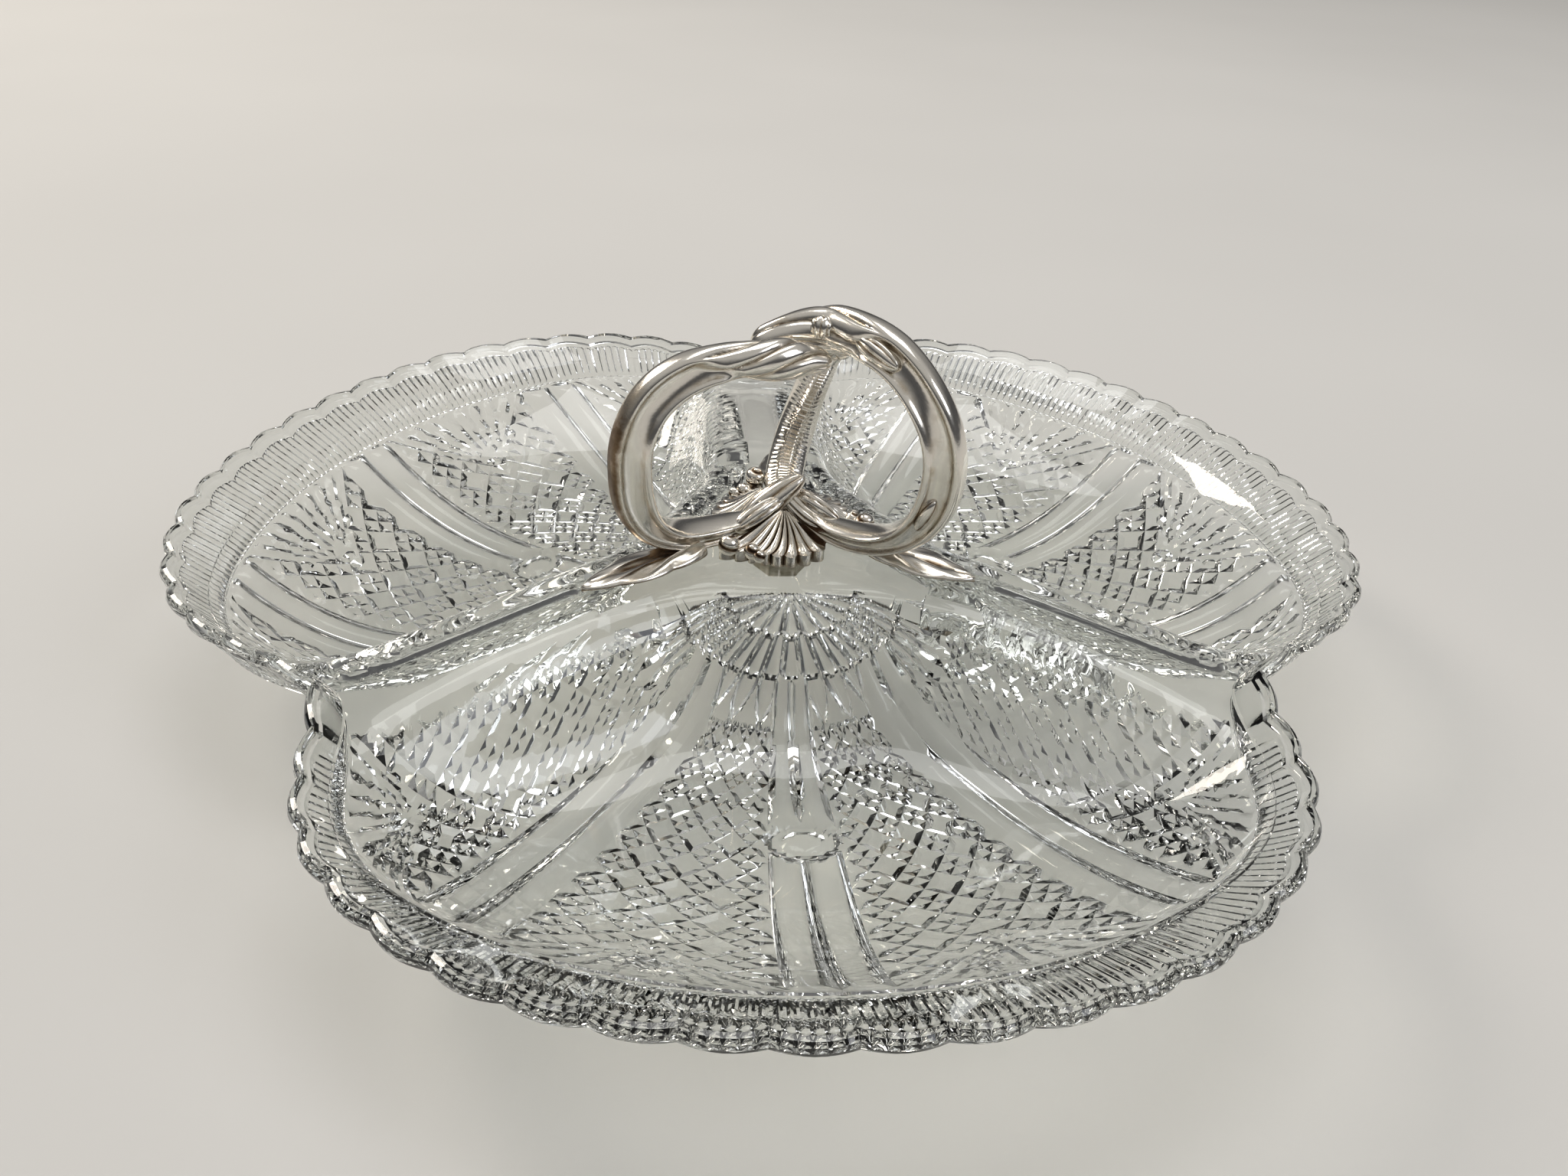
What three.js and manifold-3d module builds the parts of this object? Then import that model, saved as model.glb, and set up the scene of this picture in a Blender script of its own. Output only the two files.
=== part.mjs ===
// Divided serving dish: a three-lobed pressed-glass dish with a cast scroll handle
// bolted through its middle. Millimetres, +Z up, feet on z = 0.
import * as THREE from 'three';
import { mergeVertices } from 'three/addons/utils/BufferGeometryUtils.js';
import Module from 'manifold-3d';

// Plan of the dish, measured from the bolt axis
const lobeCount = 3;
const beadReach = 127.5;         // bead line at the middle of a lobe
const notchDepth = 22.9;         // how far the bead line falls in at a ridge
const notchSpread = 13.5;        // degrees from the ridge over which it falls
const flangeWidth = 14.6;        // flared rim outside the bead line, mid lobe
const notchFlangeWidth = 7.4;    // the same at a ridge
const flangeSpread = 30;         // degrees over which the flange narrows
const scallopsPerLobe = 22;
const scallopDepth = 1.7;

// Heights above the table
const footRise = 1.5;            // feet below the floor of a compartment
const floorThickness = 5.5;
const wallThickness = 4.8;
const beadHeight = 28;
const rimRise = 6.3;             // rim edge above the bead line
const rimEdgeThickness = 3.6;
const ridgeRise = 7.4;           // hub and ridge crest above the bead line

// Bowls, ridges and hub
const floorShare = 0.57;         // where along the bead radius a bowl is deepest
const bowlPower = 2.3;
const ridgeHalfWidth = 19.5;     // from a ridge's plane to the middle of its side
const ridgeSteepness = 6;
const hubRadius = 37;            // axis to the middle of the hub's side
const hubSteepness = 8.3;
const crestLevelReach = 45;      // the crest is level this far, then falls to the bead
const crestPower = 1.3;

// Pressed pattern under the glass
const bandHalfWidth = 9.5;       // fluted bands, at the rim
const bandGrowth = 55;           // radius by which a band has opened out
const sideBandAngle = 30;        // side bands from the middle of a lobe, degrees
const sideBandBow = 4.5;
const panelMargin = 10;          // plain strip from a ridge's plane to a diamond panel
const panelSteps = 6;
const patternStart = 31;         // radius at the foot of the hub's petals
const petalEnd = 40;
const fluteDepth = 1.3;
const diamondDepth = 1.0;
const petalDepth = 0.8;

// Oval feet
const footReach = 70;
const footLength = 14;
const footWidth = 9.5;

// Fastening stack on the bolt axis
const seatRadius = 13;           // flat round seats above and below the hub
const studRadius = 3;
const studClearance = 0.3;
const glassBoreClearance = 1;
const padThickness = 1;
const upperPadRadius = 11.4;
const lowerPadThickness = 1.2;
const lowerPadRadius = 10.5;
const washerThickness = 1.2;
const washerRadius = 9;
const nutAcrossFlats = 11;
const nutHeight = 5;
const studTail = 1.6;            // stud past the nut

// Handle arms: each is an elliptic C-scroll from the hub, out over a ridge and back to
// the crown, where its end runs on past the axis. The sway is how far it leans sideways.
const leftScroll = {
  reach: 15.5,                   // ellipse centre from the axis
  halfSpan: 22.7,
  halfHeight: 21.4,
  start: -126,                   // degrees round the ellipse, at the hub end
  run: 20,                       // length past the top of the ellipse
  drop: 2,
  sway: 8,
  swayFrom: 0.56,                // shares of the arm's length between which it sways
  swayTo: 0.9,
  crownHalfHeight: 3.5,
  crownHalfWidth: 4.1,
  leafEnd: 50,                   // tip of the leaf foot, from the axis
  leafHalfWidth: 6.2,
};
const rightScroll = {
  ...leftScroll,
  halfHeight: 22.1,
  run: 27,
  drop: 5,
  crownHalfHeight: 4.9,
  crownHalfWidth: 5,
};
const backScroll = {
  reach: 10,
  halfSpan: 16.5,
  halfHeight: 19.3,
  start: -118,
  run: 5,
  drop: 0.5,
  sway: -9.5,
  swayFrom: 0.16,
  swayTo: 0.66,
  crownHalfHeight: 3.6,
  crownHalfWidth: 3.8,
  leafEnd: 37,
  leafHalfWidth: 4.2,
};
const scrolls = { left: leftScroll, right: rightScroll, back: backScroll };
const handleTurn = -5;           // the bolted handle sits this far round from the ridges
const armGap = 0.3;              // solder gap between castings
const armHalfHeight = 4.5;
const armHubHalfHeight = 1.8;
const armFootHalfHeight = 3;
const armTipShare = 0.6;         // tip height as a share of the crown's
const armHalfWidth = 4.1;
const armFootHalfWidth = 4.6;
const armHubHalfWidth = 2.6;
const scrollSteps = 26;
const whirlSteps = 8;

// Leaf foot that runs out along the ridge
const leafStart = 7;             // from the middle of the scroll
const leafHalfThickness = 2;
const leafSteps = 8;

// Shell flares between the arms
const shellReach = 17;           // from the axis to the middle of the scalloped edge
const shellVoluteReach = 17.5;   // length of the flare beside an arm, on the side of its curl
const shellPlainReach = 12;      // and on the other side
const shellHeight = 8;
const shellEdgeHeight = 2;
const shellRibs = 8;
const shellRibDepth = 1.3;
const shellRows = 6;
const voluteRadius = 2.5;        // round curl at one end of each shell
const bossHeight = 3.2;

const ringColumns = 32;          // columns per lobe on the plain upper surface
const rimColumns = 3;            // columns per scallop
const boreColumns = 8;           // columns per lobe at the bore

const halfLobe = 180 / lobeCount;
const frontLobe = 270;           // azimuth of the first lobe
const ridges = { left: 210, right: 330, back: 90 };
const lobes = { front: 270, right: 30, left: 150 };
const radians = THREE.MathUtils.degToRad;
const degrees = THREE.MathUtils.radToDeg;
const mix = THREE.MathUtils.lerp;
const clamp = THREE.MathUtils.clamp;

const hubTop = beadHeight + ridgeRise;
const hubUnder = hubTop - wallThickness;
const floorTop = footRise + floorThickness;
const glassBore = studRadius + glassBoreClearance;
const studBore = studRadius + studClearance;
const handleBase = hubTop + padThickness;
const ridgeEnd = beadReach - notchDepth;
const bossRadius = (armFootHalfWidth + armGap) / Math.sin(radians(halfLobe)) - armGap;

const wasm = await Module();
wasm.setup();

function toSolid(geometry) {
  const bare = geometry.clone();
  bare.deleteAttribute('normal');
  bare.deleteAttribute('uv');
  const merged = mergeVertices(bare, 1e-4);
  return new wasm.Manifold(new wasm.Mesh({
    numProp: 3,
    vertProperties: new Float32Array(merged.attributes.position.array),
    triVerts: new Uint32Array(merged.index.array),
  }));
}

function toGeometry(solid) {
  const mesh = solid.getMesh();
  const geometry = new THREE.BufferGeometry();
  geometry.setAttribute('position', new THREE.BufferAttribute(new Float32Array(mesh.vertProperties), 3));
  geometry.setIndex(new THREE.BufferAttribute(new Uint32Array(mesh.triVerts), 1));
  return geometry;
}

// Closed rings of points joined one to the next; rings may differ in count and are
// walked together by azimuth, so every ring starts on the same ridge.
function ringSurface(rings) {
  const positions = [];
  const indices = [];
  const starts = [];
  for (const ring of rings) {
    starts.push(positions.length / 3);
    for (const point of ring) positions.push(point.x, point.y, point.z);
  }
  rings.forEach((lower, k) => {
    const next = (k + 1) % rings.length;
    const upper = rings[next];
    let i = 0;
    let j = 0;
    while (i < lower.length || j < upper.length) {
      const a = starts[k] + (i % lower.length);
      const b = starts[next] + (j % upper.length);
      const turnA = i < lower.length ? (lower[i + 1]?.turn ?? 1) : Infinity;
      const turnB = j < upper.length ? (upper[j + 1]?.turn ?? 1) : Infinity;
      if (turnA <= turnB) {
        indices.push(a, b, starts[k] + ((i + 1) % lower.length));
        i += 1;
      } else {
        indices.push(a, b, starts[next] + ((j + 1) % upper.length));
        j += 1;
      }
    }
  });
  const geometry = new THREE.BufferGeometry();
  geometry.setAttribute('position', new THREE.Float32BufferAttribute(positions, 3));
  geometry.setIndex(indices);
  return geometry;
}

// Outline of the dish; phi is the angle from the middle of a lobe in degrees
function beadRadius(phi) {
  const fromRidge = halfLobe - Math.abs(phi);
  return beadReach - notchDepth * Math.exp(-((fromRidge / notchSpread) ** 2));
}

function rimRadius(phi) {
  const fromRidge = halfLobe - Math.abs(phi);
  const narrowing = Math.exp(-((fromRidge / flangeSpread) ** 4));
  return beadRadius(phi) + mix(flangeWidth, notchFlangeWidth, narrowing);
}

function crestHeight(along) {
  const fall = clamp((along - crestLevelReach) / (ridgeEnd - crestLevelReach), 0, 1);
  return beadHeight + ridgeRise * (1 - fall ** crestPower);
}

// Upper or lower face of the glass: bowls, with the ridges and the hub standing over them
function faceHeight(radius, phi, sunk) {
  const share = clamp((radius / beadRadius(phi) - floorShare) / (1 - floorShare), 0, 1);
  const floor = sunk ? footRise : floorTop;
  const wallTop = sunk ? beadHeight - wallThickness * 1.25 : beadHeight;
  const bowl = floor + (wallTop - floor) * share ** bowlPower;
  const fromRidge = radians(halfLobe - Math.abs(phi));
  const across = radius * Math.sin(fromRidge);
  const crest = crestHeight(radius * Math.cos(fromRidge)) - (sunk ? wallThickness : 0);
  const ridgeHalf = ridgeHalfWidth - (sunk ? wallThickness : 0);
  const hubHalf = hubRadius - (sunk ? wallThickness : 0);
  const ridge = 1 / (1 + (across / ridgeHalf) ** (ridgeSteepness * ridgeHalf / ridgeHalfWidth));
  const hub = 1 / (1 + (radius / hubHalf) ** (hubSteepness * hubHalf / hubRadius));
  const rise = radius <= seatRadius ? 1 : 1 - (1 - ridge) * (1 - hub);
  return bowl + (crest - bowl) * rise;
}

function ringPoint(radius, phi, z, lobe) {
  const azimuth = radians(frontLobe + 2 * halfLobe * lobe + phi);
  const point = new THREE.Vector3(radius * Math.cos(azimuth), radius * Math.sin(azimuth), z);
  point.turn = (lobe + (phi + halfLobe) / (2 * halfLobe)) / lobeCount;
  return point;
}

function evenAngles(count) {
  return Array.from({ length: count }, (_, k) => -halfLobe + (2 * halfLobe * k) / count);
}

// A ring all the way round: radius and height are functions of phi and the column
function fullRing(angles, radiusAt, heightAt) {
  const ring = [];
  for (let lobe = 0; lobe < lobeCount; lobe += 1) {
    angles.forEach((phi, k) => {
      const radius = radiusAt(phi, k);
      ring.push(ringPoint(radius, phi, heightAt(radius, phi, k), lobe));
    });
  }
  return ring;
}

// Angles that step evenly along the rim's own length
function rimAngles(count) {
  const fine = 40 * count;
  const length = [0];
  for (let k = 1; k <= fine; k += 1) {
    const phi0 = -halfLobe + (2 * halfLobe * (k - 1)) / fine;
    const phi1 = -halfLobe + (2 * halfLobe * k) / fine;
    const step = Math.hypot(rimRadius(phi1) - rimRadius(phi0), rimRadius(phi0) * radians(phi1 - phi0));
    length.push(length[k - 1] + step);
  }
  const angles = [];
  let k = 0;
  for (let n = 0; n < count; n += 1) {
    const wanted = (length[fine] * n) / count;
    while (length[k + 1] < wanted) k += 1;
    const part = (wanted - length[k]) / (length[k + 1] - length[k]);
    angles.push(-halfLobe + (2 * halfLobe * (k + part)) / fine);
  }
  return angles;
}

function bandHalfAngle(radius) {
  const halfWidth = bandHalfWidth * (1 - Math.exp(-((radius / bandGrowth) ** 1.4)));
  return degrees(Math.asin(halfWidth / radius));
}

function sideBandMiddle(share) {
  return sideBandAngle + sideBandBow * (1 - ((share - 0.6) / 0.4) ** 2);
}

// Columns of the pressed pattern from the middle of a lobe out to the ridge:
// half the middle band, a panel, a side band, a panel and the plain ridge side.
// Each column has its angle and how deep the mould cuts it on even and odd rings.
function patternColumns(share) {
  const radius = Math.max(share * beadReach, patternStart);
  const half = bandHalfAngle(radius);
  const middle = sideBandMiddle(Math.max(share, patternStart / beadReach));
  const panelTop = halfLobe - degrees(Math.asin(Math.min(panelMargin / radius, 0.5)));
  const bandTop = Math.min(middle + half, panelTop - 1.5);
  const columns = [
    { phi: 0, cut: [0, 0] },
    { phi: half / 2, cut: [fluteDepth, fluteDepth] },
    { phi: half, cut: [0, 0] },
  ];
  const panel = (from, to) => {
    for (let k = 1; k < panelSteps; k += 1) {
      const odd = k % 2;
      columns.push({
        phi: mix(from, to, k / panelSteps), cut: [diamondDepth * odd, diamondDepth * (1 - odd)],
      });
    }
  };
  panel(half, middle - half);
  const flutes = [0, 1, 0, 1, 0];
  flutes.forEach((deep, k) => {
    const phi = mix(middle - half, bandTop, k / (flutes.length - 1));
    columns.push({ phi, cut: [fluteDepth * deep, fluteDepth * deep] });
  });
  panel(bandTop, panelTop);
  columns.push({ phi: panelTop, cut: [0, 0] });
  columns.push({ phi: (panelTop + halfLobe) / 2, cut: [0, 0] });
  return columns;
}

// One ring of the underside at a share of the bead radius
function patternRing(share, order) {
  const half = patternColumns(share);
  const columns = [{ phi: -halfLobe, cut: [0, 0] }];
  for (let k = half.length - 1; k > 0; k -= 1) columns.push({ phi: -half[k].phi, cut: half[k].cut });
  columns.push(...half);
  const plain = share * beadReach < patternStart - 8 || share > 0.97;
  const petals = share * beadReach < petalEnd;
  return fullRing(columns.map((column) => column.phi), (phi) => share * beadRadius(phi), (radius, phi, k) => {
    const base = faceHeight(radius, phi, true);
    if (plain) return base;
    if (petals) return base + petalDepth * (k % 2);
    return base + columns[k].cut[order % 2];
  });
}

function ovalFoot(lobe) {
  const outline = new THREE.Shape();
  outline.absellipse(0, 0, footWidth / 2, footLength / 2, 0, 2 * Math.PI);
  const foot = new THREE.ExtrudeGeometry(outline, {
    depth: footRise + floorThickness / 2,
    bevelEnabled: false,
    curveSegments: 10,
  });
  foot.translate(footReach, 0, 0);
  foot.rotateZ(radians(frontLobe + 2 * halfLobe * lobe));
  return toSolid(foot);
}

function glassGeometry() {
  const upperAngles = evenAngles(ringColumns);
  const boreAngles = evenAngles(boreColumns);
  const edgeAngles = rimAngles(scallopsPerLobe * rimColumns);
  const scallop = (k) => scallopDepth * Math.abs(Math.sin((Math.PI * k) / rimColumns)) ** 0.8;
  const edgeRadius = (inset) => (phi, k) => rimRadius(phi) - scallopDepth + scallop(k) - inset;
  const rimTop = beadHeight + rimRise;
  const upperShares = [0.16, 0.21, 0.25, 0.29, 0.33, 0.38, 0.46, 0.57, 0.7, 0.82, 0.91, 1];
  const lowerShares = [
    0.97, 0.91, 0.86, 0.81, 0.76, 0.71, 0.66, 0.61, 0.56, 0.51, 0.46, 0.41, 0.36, 0.31, 0.27, 0.23, 0.18,
  ];
  const seat = (z, bore) => {
    const radius = bore ? glassBore : seatRadius;
    return fullRing(bore ? boreAngles : upperAngles, () => radius, () => z);
  };
  const rings = [seat(hubTop, true), seat(hubTop, false)];
  for (const share of upperShares) {
    rings.push(fullRing(
      upperAngles, (phi) => share * beadRadius(phi), (r, phi) => faceHeight(r, phi, false),
    ));
  }
  rings.push(fullRing(edgeAngles, edgeRadius(rimEdgeThickness / 2), () => rimTop));
  rings.push(fullRing(edgeAngles, edgeRadius(0), () => rimTop - rimEdgeThickness / 2));
  rings.push(fullRing(edgeAngles, edgeRadius(rimEdgeThickness / 2), () => rimTop - rimEdgeThickness));
  rings.push(patternRing(1, 0));
  lowerShares.forEach((share, order) => rings.push(patternRing(share, order)));
  rings.push(seat(hubUnder, false), seat(hubUnder, true));
  let dish = toSolid(ringSurface(rings));
  for (let lobe = 0; lobe < lobeCount; lobe += 1) dish = dish.add(ovalFoot(lobe));
  return toGeometry(dish);
}

// A closed tube through cross-sections that all have the same number of points
function loft(sections) {
  const count = sections[0].length;
  const positions = [];
  const indices = [];
  for (const section of sections) {
    for (const point of section) positions.push(point.x, point.y, point.z);
  }
  for (let k = 0; k + 1 < sections.length; k += 1) {
    for (let n = 0; n < count; n += 1) {
      const a = k * count + n;
      const b = k * count + ((n + 1) % count);
      indices.push(a, b, a + count, b, b + count, a + count);
    }
  }
  const last = (sections.length - 1) * count;
  for (let n = 1; n + 1 < count; n += 1) {
    indices.push(0, n + 1, n, last, last + n, last + n + 1);
  }
  const geometry = new THREE.BufferGeometry();
  geometry.setAttribute('position', new THREE.Float32BufferAttribute(positions, 3));
  geometry.setIndex(indices);
  return geometry;
}

function scrollCentre(scroll) {
  return new THREE.Vector3(scroll.reach, 0, handleBase + armGap + armFootHalfHeight + scroll.halfHeight);
}

// Middle line of an arm that lies over the +X axis: the ellipse, then the run past the axis
function armPath(scroll) {
  const centre = scrollCentre(scroll);
  const last = scrollSteps + whirlSteps;
  const points = [];
  for (let k = 0; k <= last; k += 1) {
    const turn = radians(mix(scroll.start, 90, Math.min(k / scrollSteps, 1)));
    const past = Math.max(k - scrollSteps, 0) / whirlSteps;
    points.push(new THREE.Vector3(
      centre.x + scroll.halfSpan * Math.cos(turn) - scroll.run * past,
      scroll.sway * THREE.MathUtils.smoothstep(k / last, scroll.swayFrom, scroll.swayTo),
      centre.z + scroll.halfHeight * Math.sin(turn) - scroll.drop * past ** 2,
    ));
  }
  return points;
}

// Half height and half width of the casting at a share of its length
function armSize(share, scroll) {
  const ease = (from, to) => THREE.MathUtils.smoothstep(share, from, to);
  let height = mix(armHubHalfHeight, armFootHalfHeight, ease(0, 0.16));
  height = mix(height, armHalfHeight, ease(0.2, 0.42));
  height = mix(height, scroll.crownHalfHeight, ease(0.6, 0.8));
  height *= mix(1, armTipShare, ease(0.88, 1));
  let width = mix(armHubHalfWidth, armFootHalfWidth, ease(0, 0.2));
  width = mix(width, armHalfWidth, ease(0.3, 0.45));
  width = mix(width, scroll.crownHalfWidth, ease(0.62, 0.82));
  return { height, width };
}

// Section of an arm: rounded rims along both edges and a hollow channel in each side.
// The figures are shares of the half height (out from the scroll) and half width.
const armSection = [
  [1, 0], [0.9, 0.62], [0.55, 0.98], [0.28, 0.7], [-0.3, 0.7], [-0.58, 0.95], [-0.92, 0.6],
];

function armLoft(scroll, grow) {
  const points = armPath(scroll);
  const centre = scrollCentre(scroll);
  const outline = [...armSection, [-1, 0]];
  for (let k = armSection.length - 1; k > 0; k -= 1) outline.push([armSection[k][0], -armSection[k][1]]);
  const sections = points.map((point, k) => {
    const before = points[Math.max(k - 1, 0)];
    const after = points[Math.min(k + 1, points.length - 1)];
    const along = after.clone().sub(before).normalize();
    const out = point.clone().sub(centre).setY(0);
    out.addScaledVector(along, -out.dot(along)).normalize();
    const side = along.clone().cross(out);
    const { height, width } = armSize(k / (points.length - 1), scroll);
    return outline.map(([h, w]) => point.clone()
      .addScaledVector(out, h * (height + grow))
      .addScaledVector(side, w * (width + grow)));
  });
  return loft(sections);
}

// Leaf foot on the crest of the ridge, rounded above and pointed at its tip
function leafLoft(scroll) {
  const outline = [[-1, -0.6], [-0.6, 0.55], [0, 1], [0.6, 0.55], [1, -0.6], [0, -1]];
  const sections = [];
  for (let k = 0; k <= leafSteps; k += 1) {
    const part = k / leafSteps;
    const reach = mix(scroll.reach + leafStart, scroll.leafEnd, part);
    const width = scroll.leafHalfWidth * (0.3 + 0.7 * Math.sin(0.95 * Math.PI * part));
    const thickness = leafHalfThickness * mix(1, 0.35, part);
    const middle = Math.max(crestHeight(reach), crestHeight(scroll.leafEnd)) + 2 * armGap + thickness;
    sections.push(outline.map(([w, h]) => new THREE.Vector3(reach, -w * width, middle + h * thickness)));
  }
  return loft(sections);
}

function neighbourArm(side, other) {
  const neighbour = armLoft(scrolls[other], armGap);
  neighbour.rotateZ(radians(ridges[other] - ridges[side]));
  return toSolid(neighbour);
}

// The left arm ends against the right one, and the back arm against both; the right one is whole
function armGeometry(side) {
  const leaf = leafLoft(scrolls[side]);
  leaf.rotateZ(radians(-handleTurn));
  let arm = toSolid(armLoft(scrolls[side], 0));
  if (side !== 'right') arm = arm.subtract(neighbourArm(side, 'right'));
  if (side === 'back') arm = arm.subtract(neighbourArm(side, 'left'));
  const roomRadius = bossRadius + armGap;
  const bossRoom = new THREE.CylinderGeometry(roomRadius, roomRadius, 2 * (bossHeight + armGap), 24);
  bossRoom.rotateX(Math.PI / 2);
  bossRoom.translate(0, 0, handleBase);
  return toGeometry(arm.subtract(toSolid(bossRoom)).add(toSolid(leaf)));
}

// Shell flare: ribs fan out from a point between two arms and droop to a scalloped edge
function shellGeometry() {
  const armClearance = armFootHalfWidth + armGap;
  const apex = armClearance / Math.sin(radians(halfLobe));
  const columns = 2 * shellRibs;
  const sections = [];
  for (let k = 0; k <= columns; k += 1) {
    const spread = mix(-1, 1, k / columns);
    const angle = radians(halfLobe) * spread;
    const rib = k % 2;
    const upper = [];
    const lower = [];
    for (let row = 0; row <= shellRows; row += 1) {
      const part = mix(0.06, 1, row / shellRows);
      const sideReach = spread < 0 ? shellVoluteReach : shellPlainReach;
      const edge = mix(shellReach - apex, sideReach, spread ** 2);
      const full = edge + shellRibDepth * (rib - 1) * part;
      const reach = full * part;
      const drop = Math.sin((Math.PI / 2) * part) ** 1.3;
      const z = mix(shellHeight, shellEdgeHeight, drop) + shellRibDepth * (rib - 0.5) * part * (1 - part);
      const x = apex + reach * Math.cos(angle);
      const y = reach * Math.sin(angle);
      upper.push(new THREE.Vector3(x, y, handleBase + z));
      const skirt = (padThickness - armGap) * THREE.MathUtils.smoothstep(part, 0.78, 0.96);
      lower.push(new THREE.Vector3(x, y, handleBase - skirt));
    }
    sections.push([...upper, ...lower.reverse()]);
  }
  const volute = new THREE.SphereGeometry(voluteRadius, 10, 7);
  const voluteTurn = radians(-0.82 * halfLobe);
  const voluteReach = shellVoluteReach - voluteRadius;
  volute.translate(
    apex + voluteReach * Math.cos(voluteTurn),
    voluteReach * Math.sin(voluteTurn),
    handleBase + voluteRadius,
  );
  return toGeometry(toSolid(loft(sections)).add(toSolid(volute)));
}

function turned(profile, segments) {
  const points = profile.map(([radius, z]) => new THREE.Vector2(radius, z));
  const geometry = new THREE.LatheGeometry([...points, points[0].clone()], segments);
  geometry.rotateX(Math.PI / 2);
  return geometry;
}

function ring(inner, outer, bottom, top) {
  return turned([[inner, bottom], [outer, bottom], [outer, top], [inner, top]], 20);
}

function hubGeometry() {
  const top = handleBase + bossHeight;
  return turned([
    [studBore, handleBase], [bossRadius, handleBase], [bossRadius, top - 0.8], [bossRadius - 0.8, top],
    [0, top], [0, top - studClearance], [studBore, top - studClearance],
  ], 24);
}

const lowerPadBottom = hubUnder - lowerPadThickness;
const washerBottom = lowerPadBottom - washerThickness;
const nutBottom = washerBottom - nutHeight;

function studGeometry() {
  const length = handleBase + bossHeight - 2 * studClearance - (nutBottom - studTail);
  const stud = new THREE.CylinderGeometry(studRadius, studRadius, length, 20);
  stud.rotateX(Math.PI / 2);
  stud.translate(0, 0, nutBottom - studTail + length / 2);
  return stud;
}

function nutGeometry() {
  const corner = nutAcrossFlats / 2 / Math.cos(Math.PI / 6);
  const outline = new THREE.Shape();
  for (let k = 0; k < 6; k += 1) {
    const turn = (Math.PI / 3) * k;
    const move = k === 0 ? 'moveTo' : 'lineTo';
    outline[move](corner * Math.cos(turn), corner * Math.sin(turn));
  }
  outline.closePath();
  const hole = new THREE.Path();
  hole.absarc(0, 0, studBore, 0, 2 * Math.PI);
  outline.holes.push(hole);
  const nut = new THREE.ExtrudeGeometry(outline, {
    depth: nutHeight, bevelEnabled: false, curveSegments: 10,
  });
  nut.translate(0, 0, nutBottom);
  return nut;
}

const glass = new THREE.MeshStandardMaterial({
  color: '#dfe3e2', roughness: 0.05, metalness: 0, transparent: true, opacity: 0.5,
});
const silverPlate = new THREE.MeshStandardMaterial({ color: '#cfc8bb', roughness: 0.25, metalness: 1 });
const nickelSilver = new THREE.MeshStandardMaterial({ color: '#b4b1a8', roughness: 0.35, metalness: 1 });
const leather = new THREE.MeshStandardMaterial({ color: '#5b4632', roughness: 0.85, metalness: 0 });

function addMesh(group, name, geometry, material) {
  const mesh = new THREE.Mesh(geometry, material);
  mesh.name = name;
  group.add(mesh);
  return mesh;
}

function buildDish() {
  const dish = new THREE.Group();
  const glassShape = glassGeometry();
  addMesh(dish, 'glass_dish', glassShape, glass);
  const shellShape = shellGeometry();
  for (const [side, azimuth] of Object.entries(ridges)) {
    const arm = addMesh(dish, `handle_arm_${side}`, armGeometry(side), silverPlate);
    arm.rotation.z = radians(azimuth + handleTurn);
  }
  for (const [side, azimuth] of Object.entries(lobes)) {
    addMesh(dish, `handle_shell_${side}`, shellShape, silverPlate).rotation.z = radians(azimuth + handleTurn);
  }
  addMesh(dish, 'handle_hub', hubGeometry(), silverPlate);
  addMesh(dish, 'tie_stud', studGeometry(), nickelSilver);
  addMesh(dish, 'upper_pad', ring(studBore, upperPadRadius, hubTop, handleBase), leather);
  addMesh(dish, 'lower_pad', ring(studBore, lowerPadRadius, lowerPadBottom, hubUnder), leather);
  addMesh(dish, 'lower_washer', ring(studBore, washerRadius, washerBottom, lowerPadBottom), nickelSilver);
  addMesh(dish, 'retaining_nut', nutGeometry(), nickelSilver);

  // The dish reaches further to the front than to the back, so its middle is set on the origin
  glassShape.computeBoundingBox();
  const { min, max } = glassShape.boundingBox;
  dish.position.y = -(min.y + max.y) / 2;
  return dish;
}

const servingDish = new THREE.Group();
servingDish.add(buildDish());

export default servingDish;
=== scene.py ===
import math

import bpy
import numpy as np
from mathutils import Matrix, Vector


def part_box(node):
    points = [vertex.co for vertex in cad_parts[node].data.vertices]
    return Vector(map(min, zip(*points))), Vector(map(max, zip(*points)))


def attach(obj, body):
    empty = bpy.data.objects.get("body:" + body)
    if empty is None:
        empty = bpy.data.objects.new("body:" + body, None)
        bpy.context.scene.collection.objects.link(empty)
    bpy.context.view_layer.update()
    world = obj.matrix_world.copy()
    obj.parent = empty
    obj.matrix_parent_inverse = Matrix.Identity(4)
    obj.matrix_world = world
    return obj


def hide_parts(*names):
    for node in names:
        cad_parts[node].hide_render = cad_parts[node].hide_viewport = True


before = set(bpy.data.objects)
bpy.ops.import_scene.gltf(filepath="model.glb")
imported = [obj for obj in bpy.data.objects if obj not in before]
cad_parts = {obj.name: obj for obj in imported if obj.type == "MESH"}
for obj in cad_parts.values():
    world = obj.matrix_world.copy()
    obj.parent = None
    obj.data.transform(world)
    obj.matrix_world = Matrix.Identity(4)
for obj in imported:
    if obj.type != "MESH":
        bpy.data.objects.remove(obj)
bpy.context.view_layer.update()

studLow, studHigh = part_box("tie_stud")
axisX = 500 * (studLow.x + studHigh.x)  # the hub's axis, in millimetres
axisY = 500 * (studLow.y + studHigh.y)
print("frame loaded, axis at", round(axisX, 2), round(axisY, 2))


# hex colour to the linear values that Blender mixes
def linearColour(text):
    parts = np.array([int(text[k:k + 2], 16) for k in (1, 3, 5)]) / 255
    line = np.where(parts <= 0.04045, parts / 12.92, ((parts + 0.055) / 1.055) ** 2.4)
    return (*line.tolist(), 1.0)


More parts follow.
